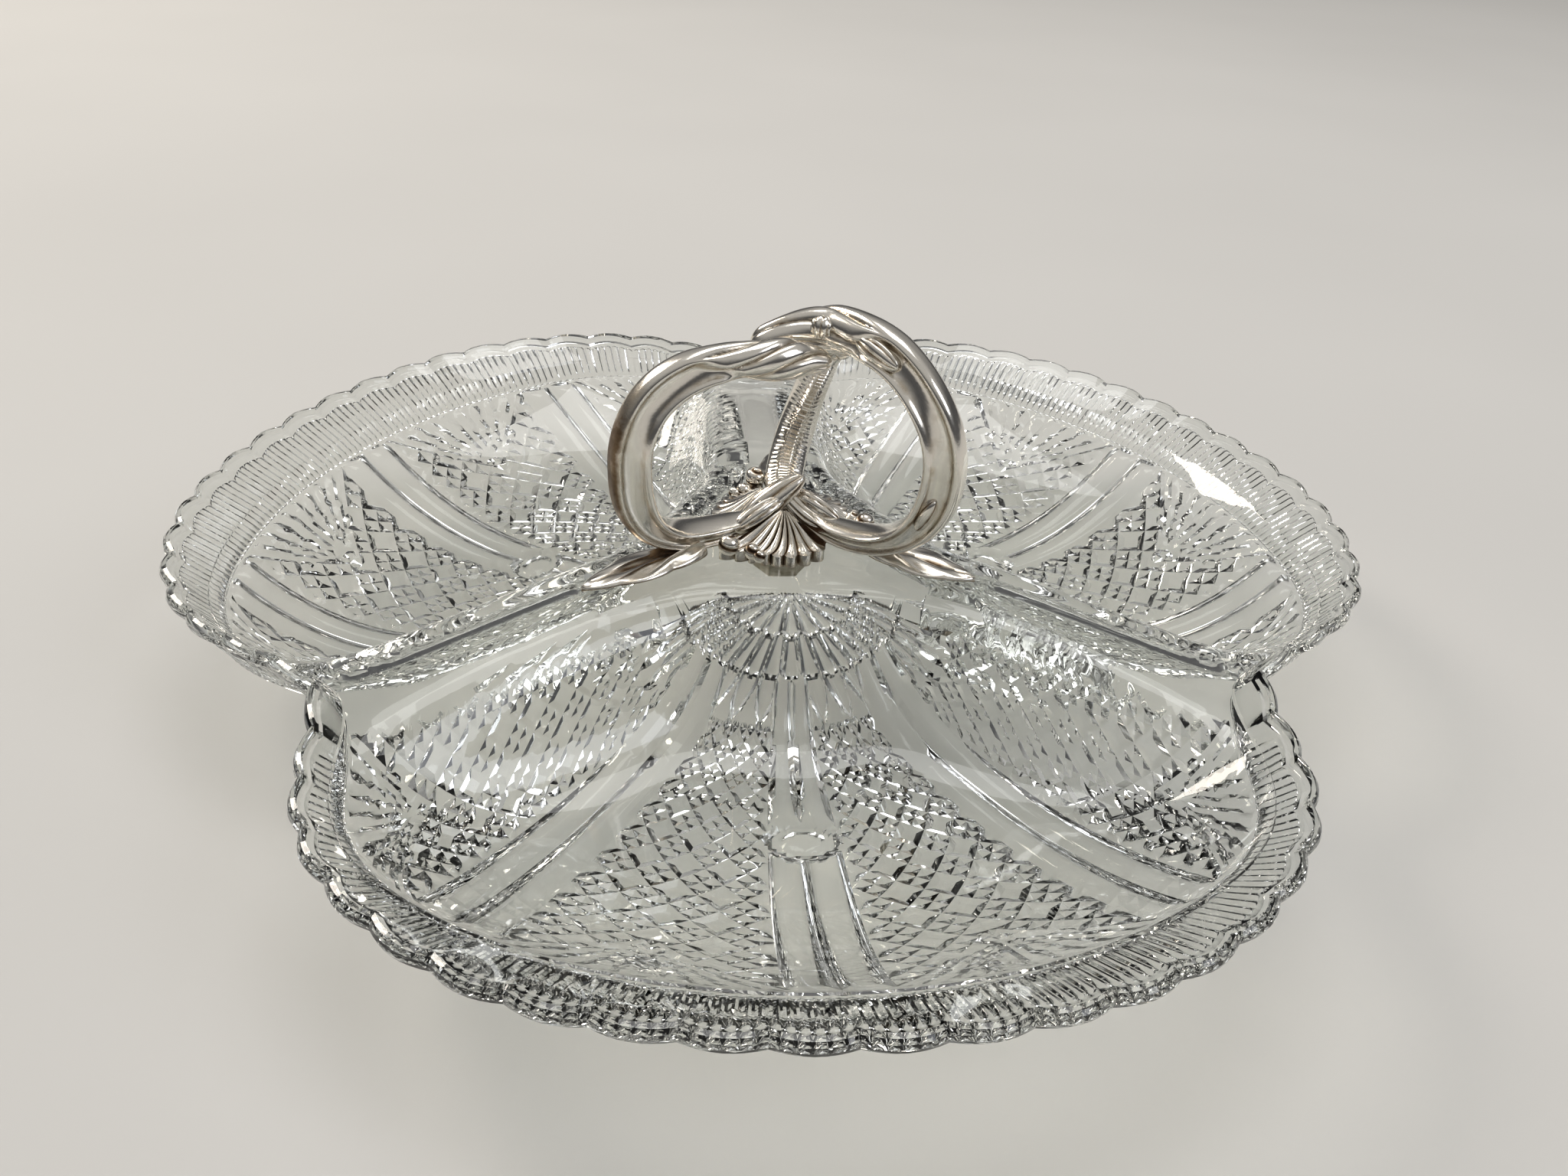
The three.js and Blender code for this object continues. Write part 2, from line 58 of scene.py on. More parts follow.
# one node: its settings, fixed values on its inputs, then links from other sockets
def addNode(tree, kind, values=None, links=None, **settings):
    node = tree.nodes.new(kind)
    for name, value in settings.items():
        setattr(node, name, value)
    for name, value in (values or {}).items():
        node.inputs[name].default_value = value
    for name, socket in (links or {}).items():
        tree.links.new(socket, node.inputs[name])
    return node


def newMaterial(name):
    material = bpy.data.materials.new(name)
    material.use_nodes = True
    material.node_tree.nodes.clear()
    return material, material.node_tree


# noise in the object's own metres: a scale of 1000 has features of about a millimetre
def noiseOf(tree, scale, detail, roughness=0.5):
    place = addNode(tree, "ShaderNodeTexCoord")
    noise = addNode(tree, "ShaderNodeTexNoise", {"Scale": scale, "Detail": detail, "Roughness": roughness},
                    {"Vector": place.outputs["Object"]})
    return noise.outputs["Fac"]


# one range of values carried over to another
def rangeOf(tree, socket, source, target):
    values = {"From Min": source[0], "From Max": source[1], "To Min": target[0], "To Max": target[1]}
    return addNode(tree, "ShaderNodeMapRange", values, {"Value": socket}).outputs["Result"]


# colour ramp through pairs of position and hex colour
def rampOf(tree, socket, *stops):
    node = addNode(tree, "ShaderNodeValToRGB", links={"Fac": socket})
    elements = node.color_ramp.elements
    for element, (spot, text) in zip((elements[0], elements[1]), (stops[0], stops[-1])):
        element.position = spot
        element.color = linearColour(text)
    for spot, text in stops[1:-1]:
        elements.new(spot).color = linearColour(text)
    return node.outputs["Color"]


def bumpOf(tree, socket, strength, distance):
    values = {"Strength": strength, "Distance": distance}
    return addNode(tree, "ShaderNodeBump", values, {"Height": socket}).outputs["Normal"]


def surfaceFrom(tree, socket):
    addNode(tree, "ShaderNodeOutputMaterial", links={"Surface": socket})


# 0 below low, 1 above high, an S curve between
def ease(x, low, high):
    t = np.clip((x - low) / (high - low), 0, 1)
    return t * t * (3 - 2 * t)


def blendTo(a, b, t):
    return a + (b - a) * t


# one piece from points in millimetres from the hub's axis and triangles; the last list gives how deep each
# point lies in a hollow, for the tarnish, and where brown shade is painted along the left arm's outer edge
def newPiece(name, points, faces, material, nodes, sharpAngle, tarnishAndShade=None):
    place = (points + np.array([axisX, axisY, 0])) / 1000
    mesh = bpy.data.meshes.new(name)
    mesh.vertices.add(len(place))
    mesh.vertices.foreach_set("co", place.astype(np.float32).ravel())
    mesh.loops.add(faces.size)
    mesh.loops.foreach_set("vertex_index", faces.astype(np.int32).ravel())
    mesh.polygons.add(len(faces))
    mesh.polygons.foreach_set("loop_start", np.arange(0, faces.size, 3, dtype=np.int32))
    mesh.update(calc_edges=True)
    mesh.validate()
    mesh.shade_smooth()
    mesh.set_sharp_from_angle(angle=math.radians(sharpAngle))
    if tarnishAndShade is not None:
        layer = mesh.attributes.new("tarnishAndShade", "FLOAT", "POINT")
        layer.data.foreach_set("value", tarnishAndShade.astype(np.float32))
    mesh.materials.append(material)
    piece = bpy.data.objects.new(name, mesh)
    bpy.context.scene.collection.objects.link(piece)
    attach(piece, "root")
    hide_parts(*nodes)
    print(name, len(place), "points", len(faces), "triangles")


glassSharpAngle, castSharpAngle = 22, 40  # degrees above which an edge shades sharp


# turn points round the hub's axis
def turned(points, azimuth):
    a = math.radians(azimuth)
    c, s = math.cos(a), math.sin(a)
    return points @ np.array([[c, s, 0], [-s, c, 0], [0, 0, 1]])


# Dish: lobes, ridges, hub and rim

dish = {
    "beadReach": 127.5, "notchDepth": 22.9, "notchSpread": 13.5,
    "flangeWidth": 14.6, "notchFlangeWidth": 7.4, "flangeSpread": 30,
    "scallops": 22, "scallopDepth": 1.5, "scallopWave": 0.5, "flutesPerScallop": 6,
    "footRise": 1.5, "floorThickness": 5.5, "wallThickness": 4.8, "beadWallShare": 1.25,
    "beadHeight": 28, "beadRise": 0.45, "beadSink": 0.5, "rimRise": 6.3, "rimEdge": 3.6, "ridgeRise": 7.4,
    "floorShare": 0.57, "bowlPower": 2.3, "roundShare": 0.15, "followShare": 0.45,
    "ridgeHalf": 19.5, "ridgeSteepness": 6, "hubRadius": 37, "hubSteepness": 8.3,
    "crestLevelReach": 45, "crestPower": 1.3, "seatRadius": 13, "boreRadius": 4,
    "bandHalfWidth": 9.5, "bandInnerReach": 30, "bandGrowth": 55, "bandPower": 1.4, "panelMargin": 10,
    "sideBandAngle": 30, "sideBandBow": 4.5, "bowMiddle": 0.6, "bowReach": 0.4,
    "footReach": 70, "footLength": 14, "footWidth": 9.5, "footHollow": 0.6,
    "fluteDepth": 1.4, "diamondDepth": 1.1, "petalDepth": 1.3, "ribDepth": 1.1,
    "innerDiamondShare": 0.6, "wallDiamondLoss": 0.1,
}
lobeHalf = 60  # degrees from the middle of a lobe to a ridge
hubTop = dish["beadHeight"] + dish["ridgeRise"]
hubUnder = hubTop - dish["wallThickness"]
ridgeEnd = dish["beadReach"] - dish["notchDepth"]


# degrees from the nearest ridge
def ridgeAngle(phi):
    return lobeHalf - np.abs(phi)


# bead line: a circle with a bell-shaped notch at each ridge
def beadRadius(phi):
    return dish["beadReach"] - dish["notchDepth"] * np.exp(-((ridgeAngle(phi) / dish["notchSpread"]) ** 2))


# rim: the bead line plus the flange, which narrows towards the notches
def rimRadius(phi):
    narrowing = np.exp(-((ridgeAngle(phi) / dish["flangeSpread"]) ** 4))
    return beadRadius(phi) + blendTo(dish["flangeWidth"], dish["notchFlangeWidth"], narrowing)


# top of a ridge at a distance from the axis: level, then falling to the bead
def crestHeight(along):
    fall = np.clip((along - dish["crestLevelReach"]) / (ridgeEnd - dish["crestLevelReach"]), 0, 1)
    return dish["beadHeight"] + dish["ridgeRise"] * (1 - fall ** dish["crestPower"])


# height of the upper or under face, and how much of it is ridge or hub (0 floor, 1 crest):
# a bowl that climbs as a power of the radius, with bell-shaped ridges and hub blended over it
def faceHeight(radius, phi, sunk):
    wall = dish["wallThickness"] if sunk else 0
    share = np.clip((radius / beadRadius(phi) - dish["floorShare"]) / (1 - dish["floorShare"]), 0, 1)
    floor = dish["footRise"] if sunk else dish["footRise"] + dish["floorThickness"]
    bowl = floor + (dish["beadHeight"] - dish["beadWallShare"] * wall - floor) * share ** dish["bowlPower"]
    fromRidge = np.radians(ridgeAngle(phi))
    across = np.abs(radius * np.sin(fromRidge))
    crest = crestHeight(radius * np.cos(fromRidge)) - wall
    ridgeHalf = dish["ridgeHalf"] - wall
    hubHalf = dish["hubRadius"] - wall
    ridge = 1 / (1 + (across / ridgeHalf) ** (dish["ridgeSteepness"] * ridgeHalf / dish["ridgeHalf"]))
    hub = 1 / (1 + (radius / hubHalf) ** (dish["hubSteepness"] * hubHalf / dish["hubRadius"]))
    rise = np.where(radius <= dish["seatRadius"], 1.0, 1 - (1 - ridge) * (1 - hub))
    return bowl + (crest - bowl) * rise, rise


def underHeight(radius, phi):
    return faceHeight(radius, phi, True)[0]


# a ring is round near the hub and follows the bead line further out
def ringRadius(share, phi):
    follow = ease(share, dish["roundShare"], dish["followShare"])
    return share * blendTo(dish["beadReach"], beadRadius(phi), follow)


# Pressed pattern on the underside, laid out in columns from the middle of a lobe to the ridge:
# half the middle band, a diamond panel, the side band, a diamond panel, plain ridge

columnEdges = np.array([0, 4, 20, 26, 42, 44])
bandEnd, sideStart, sideEnd, panelEnd, lastColumn = columnEdges[1:]
panelWide = sideStart - bandEnd
cellWide = 4  # columns to a block or to a group of four pyramids
rowStart, rowStep, rowGrowth = 0.29, 0.0123, 8.3e-5  # share of the bead radius at lattice row y
focusRow = 36  # where the fan by the rim springs from
fanRays = 9
lastRow = 44
patternEnd = {"hub": (0.955, 0.975), "ridge": (0.84, 0.94)}  # shares of the rise where the pattern fades out

# fan on the hub's wall, in millimetres and degrees; the stretch makes it wider than high
petalFan = {
    "apex": 20.5, "reach": (9.8, 18.6, 30.0), "petalAngle": 16.4, "petalRound": 1.4, "petalPower": 2.2,
    "lipWidth": 0.8, "pointPower": 1.5, "rootLength": 0.9,
    "stretch": 1.82, "stretchLoss": 0.0172, "leastStretch": 0.8,
}


def rowShare(y):
    return rowStart + rowStep * y + rowGrowth * y * y


def rowOfShare(share):
    c = rowStart - share
    return (-rowStep + np.sqrt(np.maximum(rowStep * rowStep - 4 * rowGrowth * c, 0))) / (2 * rowGrowth)


# factor is how many mesh columns stand for one pattern column
def columnNumbers(factor):
    return np.arange(0, lastColumn * factor + 1) / factor


# length so far, from the steps along a line
def lengthSoFar(steps):
    return np.concatenate([[0], np.cumsum(steps)])


# angles of the columns on one ring: spaced evenly along the glass between the edges of the bands,
# and evenly round the axis close to the hub
def columnAngles(share, factor):
    fine = np.linspace(0, lobeHalf, 481)
    radius = ringRadius(share, fine)
    a = np.radians(fine)
    line = np.stack([radius * np.cos(a), radius * np.sin(a), underHeight(radius, fine)], 1)
    length = lengthSoFar(np.linalg.norm(np.diff(line, axis=0), axis=1))
    r = max(share * dish["beadReach"], dish["bandInnerReach"])
    grown = 1 - math.exp(-((r / dish["bandGrowth"]) ** dish["bandPower"]))
    half = math.degrees(math.asin(dish["bandHalfWidth"] * grown / r))
    bow = 1 - ((max(share, 0.24) - dish["bowMiddle"]) / dish["bowReach"]) ** 2  # held steady near the hub
    middle = dish["sideBandAngle"] + dish["sideBandBow"] * bow
    top = lobeHalf - math.degrees(math.asin(min(dish["panelMargin"] / r, 0.5)))
    edges = [0, half, middle - half, min(middle + half, top - 1.5), top, lobeHalf]
    columns = columnNumbers(factor)
    spot = np.interp(columns, columnEdges, np.interp(edges, fine, length))
    pattern = np.interp(spot, length, fine)
    return blendTo(columns / lastColumn * lobeHalf, pattern, ease(share, 0.19, 0.27))


# fan of petals: polar about the apex, two tiers of round-ended petals and one of long points;
# gives the depth, the distance from the apex and the end of the second tier
def petalCut(fanAcross, fanDown):
    stretch = np.maximum(petalFan["stretch"] - petalFan["stretchLoss"] * fanAcross, petalFan["leastStretch"])
    across = fanAcross / stretch
    rho = np.hypot(across, np.maximum(fanDown, 0))
    theta = np.degrees(np.arctan2(across, np.maximum(fanDown, 1e-6)))
    petal = np.abs(2 * np.mod(theta / petalFan["petalAngle"] + 0.5, 1) - 1)
    petalFine = np.abs(2 * np.mod(theta / (petalFan["petalAngle"] / 2) + 0.5, 1) - 1)
    first, second, third = petalFan["reach"]
    endOne = first - petalFan["petalRound"] * (1 - np.cos(np.pi / 2 * petal))
    endTwo = second - petalFan["petalRound"] * (1 - np.cos(np.pi / 2 * petalFine))
    power, lip = petalFan["petalPower"], petalFan["lipWidth"]
    tierOne = np.maximum(petal ** power, np.exp(-(((endOne - rho) / lip) ** 2)))
    tierTwo = np.maximum(petalFine ** power, np.exp(-(((endTwo - rho) / lip) ** 2)))
    reach = np.clip((rho - second) / (third - second), 0, 1)
    point = np.clip(petalFine / np.maximum(1 - reach ** petalFan["pointPower"], 0.02), 0, 1)
    tiers = np.where(rho < endOne, tierOne, np.where(rho < endTwo, tierTwo, point ** power))
    return dish["petalDepth"] * tiers * ease(fanDown, 0, petalFan["rootLength"]), rho, endTwo


# depth of the pressing at a column and row, and at millimetres from the petal fan's apex; diamonds: on
# axes turned 45 degrees, flat-topped blocks alternate with groups of four small pyramids
def pressedDepth(column, row, fanAcross, fanDown, wall):
    x = np.where(column < (sideStart + sideEnd) / 2, column - bandEnd, column - sideEnd)
    a, b = (x + row) / cellWide, (x - row) / cellWide
    cellA, cellB = np.round(a), np.round(b)
    u, w = a - cellA, b - cellB
    block = np.mod(cellA + cellB, 2) < 0.5
    blockCut = np.clip(4 * np.maximum(np.abs(u), np.abs(w)) - 1, 0, 1)
    smallU = 2 * np.abs(np.mod(2 * (u + 0.5), 1) - 0.5)
    smallW = 2 * np.abs(np.mod(2 * (w + 0.5), 1) - 0.5)
    grown = blendTo(dish["innerDiamondShare"], 1, np.clip(row / lastRow, 0, 1))  # smaller cells are shallower
    deep = dish["diamondDepth"] * grown
    cut = deep * np.where(block, blockCut, np.maximum(smallU, smallW))
    cut = cut * np.clip(np.minimum(x, panelWide - x), 0, 1) * (1 - dish["wallDiamondLoss"] * wall)

    # fan by the rim: convex rays from a focus in the middle of the panel
    past = row - focusRow
    spread = (x - panelWide / 2) / np.maximum(past, 1e-6)
    ray = np.mod((spread + 1) * fanRays / 2, 1)
    inFan = (past > 0) & (np.abs(spread) <= 1)
    cut = np.where(inFan, deep * np.abs(2 * ray - 1) ** 2, cut)

    # bands: two hollow flutes side by side
    sideFlute = np.mod((column - sideStart) / ((sideEnd - sideStart) / 2), 1)
    flute = np.where(column < sideStart, column / bandEnd, sideFlute)
    inBand = (column < bandEnd) | ((column > sideStart) & (column < sideEnd))
    cut = np.where(inBand, dish["fluteDepth"] * (1 - np.abs(2 * flute - 1) ** 3), cut)

    # the petals reach further over the panels than over the bands
    petals, rho, secondEnd = petalCut(fanAcross, fanDown)
    inPanel = ((column > bandEnd) & (column < sideStart)) | ((column > sideEnd) & (column < panelEnd))
    cut = np.where(rho < np.where(inPanel, petalFan["reach"][2], secondEnd), petals, cut)
    return cut * (1 - ease(row, lastRow - 0.6, lastRow + 0.6))


# half a lobe's columns mirrored about its middle; an angle changes sign, a column number doesn't
def mirrored(half, sign):
    return np.concatenate([sign * half[..., :0:-1], half[..., :-1]], -1)


# angles from the middle of a lobe to the ridge that step evenly along the rim
def rimAngles(count):
    fine = np.linspace(0, lobeHalf, 40 * count + 1)
    edge = rimRadius(fine)
    length = lengthSoFar(np.hypot(np.diff(edge), edge[:-1] * np.radians(np.diff(fine))))
    return np.interp(length[-1] * np.arange(count + 1) / count, length, fine)


# how far down the hub's wall a point lies: level lines of the wall are level lines of the petal fan
def fanFall(radius, base):
    line = np.linspace(petalFan["apex"], dish["footReach"], 400)
    fall = underHeight(line, 0 * line)
    length = lengthSoFar(np.hypot(np.diff(line), np.diff(fall)))
    down = np.interp(-base, -fall, length, left=-1)
    return np.where(radius < dish["footReach"], down, length[-1])


# middle of every face, from two corners across it
def faceMiddle(values):
    return (values[:-1] + np.roll(values, -1, 1)[1:]) / 2


# underside rings at these shares, the pattern pressed upwards along the normal of the plain face;
# settle draws the columns over to the rim's own
def underRings(shares, factor, settle=0.0):
    half = np.array([columnAngles(s, factor) for s in shares])
    half = blendTo(half, rimAngles(lastColumn * factor), np.asarray(settle)[..., None])
    phi = mirrored(half, -1)
    column = np.broadcast_to(mirrored(columnNumbers(factor), 1), phi.shape)
    share = np.broadcast_to(np.array(shares)[:, None], phi.shape)
    row = rowOfShare(share)
    radius = ringRadius(share, phi)
    base, rise = faceHeight(radius, phi, True)
    across = radius * np.sin(np.radians(np.abs(phi)))
    down = fanFall(radius, base)

    # slopes of the plain face, outwards and round
    nudge = 0.05
    turn = np.degrees(nudge / radius)
    outSlope = (underHeight(radius + nudge, phi) - underHeight(radius - nudge, phi)) / (2 * nudge)
    roundSlope = (underHeight(radius, phi + turn) - underHeight(radius, phi - turn)) / (2 * nudge)
    steep = np.sqrt(1 + outSlope ** 2 + roundSlope ** 2)
    wall = ease(steep, 1.2, 1.9)  # from about 34 to 58 degrees of slope

    # the pattern ends crisply under the hub, softly under the ridges
    byRidge = ease(np.abs(phi), 35, 50)
    fadeFrom, fadeTo = (blendTo(*ends, byRidge) for ends in zip(patternEnd["hub"], patternEnd["ridge"]))
    cut = pressedDepth(column, row, across, down, wall) * (1 - ease(rise, fadeFrom, fadeTo))

    # oval foot in the middle band: flutes stop short of it, it comes down to the table and stands on its
    # edge, with a shallow dish inside; oval is 1 on its outline
    oval = np.hypot((radius - dish["footReach"]) / dish["footWidth"], across / dish["footLength"]) * 2
    cut = np.where(column < bandEnd, cut * ease(oval, 1.08, 1.4), cut)
    hollow = dish["footHollow"] * (1 - ease(oval, 0.5, 0.72))
    height = (base + cut / steep) * ease(oval, 0.93, 1.1) + hollow
    pressedRadius = radius - cut * outSlope / steep
    pressedPhi = phi - np.degrees(cut * roundSlope / steep / radius)

    # the depth at the middle of every face says which way it folds
    midDown = (down[:-1] + down[1:]) / 2
    middle = pressedDepth(faceMiddle(column), faceMiddle(row), faceMiddle(across), midDown, faceMiddle(wall))
    straight = np.abs(faceMiddle(cut) - middle)
    crossed = np.abs((cut[1:] + np.roll(cut, -1, 1)[:-1]) / 2 - middle)
    return roundLobes(pressedRadius, pressedPhi, height), np.tile(crossed < straight - 1e-9, (1, 3))


# repeat one lobe's columns over the three lobes, as x, y, z
def roundLobes(radius, phi, height):
    azimuth = np.radians(np.concatenate([270 + 120 * k + phi for k in range(3)], 1))
    r = np.tile(radius, (1, 3))
    return np.stack([r * np.cos(azimuth), r * np.sin(azimuth), np.tile(height, (1, 3))], 2)


# triangles between rings of equal count; crossed says which diagonal each face folds on
def gridFaces(index, crossed=None):
    a, b = index[:-1], index[1:]
    c, d = np.roll(b, -1, 1), np.roll(a, -1, 1)
    if crossed is None:
        crossed = np.zeros(a.shape, bool)
    first = np.where(crossed[..., None], np.stack([a, b, d], 2), np.stack([a, b, c], 2))
    second = np.where(crossed[..., None], np.stack([b, c, d], 2), np.stack([a, c, d], 2))
    return np.concatenate([first.reshape(-1, 3), second.reshape(-1, 3)])


# triangles between two rings where one has a whole number of times the other's points
def stitchFaces(lower, upper):
    coarse, fine = (lower, upper) if len(lower) < len(upper) else (upper, lower)
    times = len(fine) // len(coarse)
    after = np.roll(coarse, -1)
    group = np.concatenate([fine, fine[:1]])
    steps = np.arange(len(coarse))[:, None] * times + np.arange(times + 1)
    block = group[steps]
    near = np.where(np.arange(times) < (times + 1) // 2, coarse[:, None], after[:, None])
    fans = np.stack([near, block[:, :-1], block[:, 1:]], 2).reshape(-1, 3)
    bridge = np.stack([coarse, block[:, (times + 1) // 2], after], 1)
    faces = np.concatenate([fans, bridge])
    return faces if len(lower) < len(upper) else faces[:, ::-1]


# scalloped edge, as half sine waves along the rim: angles, edge radius, its height and the bead's radius
def scallopLine(perScallop):
    count = dish["scallops"] * perScallop
    lobe = np.abs(np.sin(np.pi * np.arange(count) / perScallop)) ** 0.9
    phi = mirrored(rimAngles(count // 2), -1)[None]
    edge = rimRadius(phi) - dish["scallopDepth"] * (1 - lobe)
    top = dish["beadHeight"] + dish["rimRise"] + dish["scallopWave"] * (lobe - 1)
    return phi, edge, top, beadRadius(phi)


# flange and rim: straight lines out from the bead, then half a circle round the edge; the underside has
# more columns to a scallop, so that its hollow flutes fit
def rimRings():
    topColumns, underColumns = 8, 24
    h = dish["rimEdge"] / 2
    phi, edge, rimTop, bead = scallopLine(topColumns)
    out = np.array([0.02, 0.05, 0.09, 0.2, 0.45, 0.7, 0.86, 0.95])[:, None]
    radius = blendTo(bead, edge - h, out)
    roll = dish["beadRise"] * np.exp(-(((out - 0.05) / 0.03) ** 2))
    height = blendTo(dish["beadHeight"], rimTop, out) + roll
    top = roundLobes(radius, np.broadcast_to(phi, radius.shape), height)
    bend = np.radians(np.array([90, 60, 30, 0, -30, -60, -90]))[:, None]
    radius = edge - h + h * np.cos(bend)
    lip = roundLobes(radius, np.broadcast_to(phi, radius.shape), rimTop - h + h * np.sin(bend))

    phi, edge, rimTop, bead = scallopLine(underColumns)
    out = np.array([0.94, 0.9, 0.86, 0.8, 0.55, 0.28, 0.12, 0.05, 0.015])[:, None]
    radius = blendTo(bead, edge - h, out)
    flute = np.mod(np.arange(phi.size) / (underColumns // dish["flutesPerScallop"]), 1)
    ends = ease(out, 0.02, 0.12) * (1 - ease(out, 0.82, 0.92)) * ease(ridgeAngle(phi), 5, 13)
    cut = dish["ribDepth"] * (1 - (2 * flute - 1) ** 2) * ends
    roll = dish["beadSink"] * np.exp(-(((out - 0.05) / 0.04) ** 2))
    height = blendTo(underHeight(bead, phi), rimTop - 2 * h, out) + cut - roll
    under = roundLobes(radius, np.broadcast_to(phi, radius.shape), height)
    return np.concatenate([top, lip]), under


# the whole dish as rings: up the bore, out over the smooth face, round the rim, in under the pattern;
# rings lie closer together where the pattern is finer
def dishMesh():
    evenHalf = np.linspace(0, lobeHalf, lastColumn + 1)[None]
    plainPhi = mirrored(evenHalf, -1)
    shares = np.concatenate([np.linspace(0.106, 0.46, 18), np.linspace(0.48, 1, 16)])[:, None]
    phi = mirrored(blendTo(evenHalf, rimAngles(lastColumn), ease(shares, 0.45, 0.95)), -1)
    radius = ringRadius(shares, phi)
    height, _ = faceHeight(radius, phi, False)
    bore = np.array([[dish["boreRadius"]], [dish["seatRadius"] - 0.5]]) + 0 * plainPhi
    borePhi = np.broadcast_to(plainPhi, bore.shape)
    upper = np.concatenate([roundLobes(bore, borePhi, hubTop + 0 * bore), roundLobes(radius, phi, height)])

    rows = rowShare(np.arange(lastRow, 13.75, -0.5))
    settle = np.concatenate([[1.0, 0.67, 0.33], 0 * rows])
    outer, outerFold = underRings(np.concatenate([[0.9992, 0.9968, 0.9943], rows]), 2, settle)
    inner, innerFold = underRings(rowShare(np.arange(13, 2.5, -1)), 1)
    fanShares = np.concatenate([rowShare(np.arange(2.5, 0.2, -0.5)), np.linspace(rowStart, 0.15, 51)])
    fan, fanFold = underRings(fanShares, 2)
    radius = ringRadius(np.array([[0.142], [0.125], [0.106]]), plainPhi)
    seat = np.concatenate([
        roundLobes(radius, np.broadcast_to(plainPhi, radius.shape), underHeight(radius, plainPhi)),
        roundLobes(bore[::-1], borePhi, hubUnder + 0 * bore),
    ])

    rimTopRings, rimUnderRings = rimRings()
    zones = [(upper, None), (rimTopRings, None), (rimUnderRings, None), (outer, outerFold),
             (inner, innerFold), (fan, fanFold), (seat, None)]
    start, faces, indices = 0, [], []
    for rings, fold in zones:
        index = start + np.arange(rings.shape[0] * rings.shape[1]).reshape(rings.shape[:2])
        faces.append(gridFaces(index, fold))
        indices.append(index)
        start += index.size
    for before, after in zip(indices[:-1], indices[1:]):
        faces.append(stitchFaces(before[-1], after[0]))
    faces.append(gridFaces(np.stack([indices[-1][-1], indices[0][0]])))
    points = np.concatenate([rings.reshape(-1, 3) for rings, _ in zones])
    return points, np.concatenate(faces)


# Pressed soda-lime glass: clear with a faint grey-green cast, fire-polished smooth from the mould, with the
# slight waviness of pressed faces and fine wear haze; lamp light passes it, so that its shadow is pale
def pressedGlass():
    material, tree = newMaterial("pressedSodaGlass")
    wave = noiseOf(tree, 45, 2)  # a swell about every 22 mm
    haze = noiseOf(tree, 170, 4, 0.6)  # wear patches of about 6 mm
    shader = addNode(tree, "ShaderNodeBsdfPrincipled",
                     {"IOR": 1.52, "Transmission Weight": 1.0, "Specular IOR Level": 0.5},
                     {"Base Color": rampOf(tree, haze, (0, "#fbfcfa"), (1, "#f1f4f1")),
                      "Roughness": rangeOf(tree, haze, (0.45, 0.8), (0.008, 0.05)),
                      "Normal": bumpOf(tree, wave, 0.12, 0.0004)})
    clear = addNode(tree, "ShaderNodeBsdfTransparent", {"Color": linearColour("#b8b9b6")})
    ray = addNode(tree, "ShaderNodeLightPath")
    mixed = addNode(tree, "ShaderNodeMixShader", links={
        0: ray.outputs["Is Shadow Ray"], 1: shader.outputs["BSDF"], 2: clear.outputs["BSDF"]})
    surfaceFrom(tree, mixed.outputs["Shader"])
    return material


# Silver plate on a cast base: bright warm white metal with a fine casting grain, and brown-black tarnish
# left in the hollows where polishing never reaches; brown shade is also painted along the left arm's outer
# edge
def silverPlate():
    material, tree = newMaterial("antiqueSilverPlate")
    hollow = addNode(tree, "ShaderNodeAttribute", attribute_name="tarnishAndShade")
    cloud = noiseOf(tree, 210, 5, 0.62)  # tarnish clouds of about 5 mm
    grain = noiseOf(tree, 1600, 3, 0.6)  # casting grain of about 0.6 mm
    # darkness from tarnish in the hollows, from the shade painted on the left arm's outer edge and from the
    # tarnish clouds
    soil = addNode(tree, "ShaderNodeMath", links={0: hollow.outputs["Fac"], 1: cloud}, operation="ADD")
    tarnishAndShadeLevel = rangeOf(tree, soil.outputs["Value"], (0.7, 1.5), (0, 1))
    colour = rampOf(tree, tarnishAndShadeLevel, (0, "#ece7de"), (0.3, "#d3c9b9"), (0.62, "#7d6953"), (1, "#2b2019"))
    shader = addNode(tree, "ShaderNodeBsdfPrincipled", {"Metallic": 1.0},
                     {"Base Color": colour, "Roughness": rangeOf(tree, tarnishAndShadeLevel, (0, 1), (0.17, 0.5)),
                      "Normal": bumpOf(tree, grain, 0.1, 0.0002)})
    surfaceFrom(tree, shader.outputs["BSDF"])
    return material


# Nickel silver turned and left bare: a grey-white metal with a warm cast, dulled in patches
def nickelSilver():
    material, tree = newMaterial("nickelSilver")
    patch = noiseOf(tree, 320, 4, 0.6)  # patches of about 3 mm
    shader = addNode(tree, "ShaderNodeBsdfPrincipled", {"Metallic": 1.0},
                     {"Base Color": rampOf(tree, patch, (0.35, "#c9c3b4"), (0.75, "#857d6c")),
                      "Roughness": rangeOf(tree, patch, (0.3, 0.8), (0.28, 0.5))})
    surfaceFrom(tree, shader.outputs["BSDF"])
    return material


# Vegetable-tanned leather cut into washers: matt brown with a pebbled grain, darker in its creases
def washerLeather():
    material, tree = newMaterial("tannedLeather")
    place = addNode(tree, "ShaderNodeTexCoord")
    pebble = addNode(tree, "ShaderNodeTexVoronoi", {"Scale": 1100},
                     {"Vector": place.outputs["Object"]})  # pebbles of about 0.9 mm
    pore = pebble.outputs["Distance"]
    stain = noiseOf(tree, 260, 3)  # stains of about 4 mm
    mixed = addNode(tree, "ShaderNodeMath", links={0: pore, 1: stain}, operation="MULTIPLY")
    shader = addNode(tree, "ShaderNodeBsdfPrincipled", {"Roughness": 0.78},
                     {"Base Color": rampOf(tree, mixed.outputs["Value"], (0, "#6b4a2f"), (1, "#3c2718")),
                      "Normal": bumpOf(tree, pore, 0.4, 0.0003)})
    surfaceFrom(tree, shader.outputs["BSDF"])
    return material


glass = pressedGlass()
silver = silverPlate()
nickel = nickelSilver()
leather = washerLeather()

points, faces = dishMesh()
newPiece("pressedDish", points, faces, glass, ["glass_dish"], glassSharpAngle)


# Handle: three cast scrolls, each carried along an ellipse and then past the axis

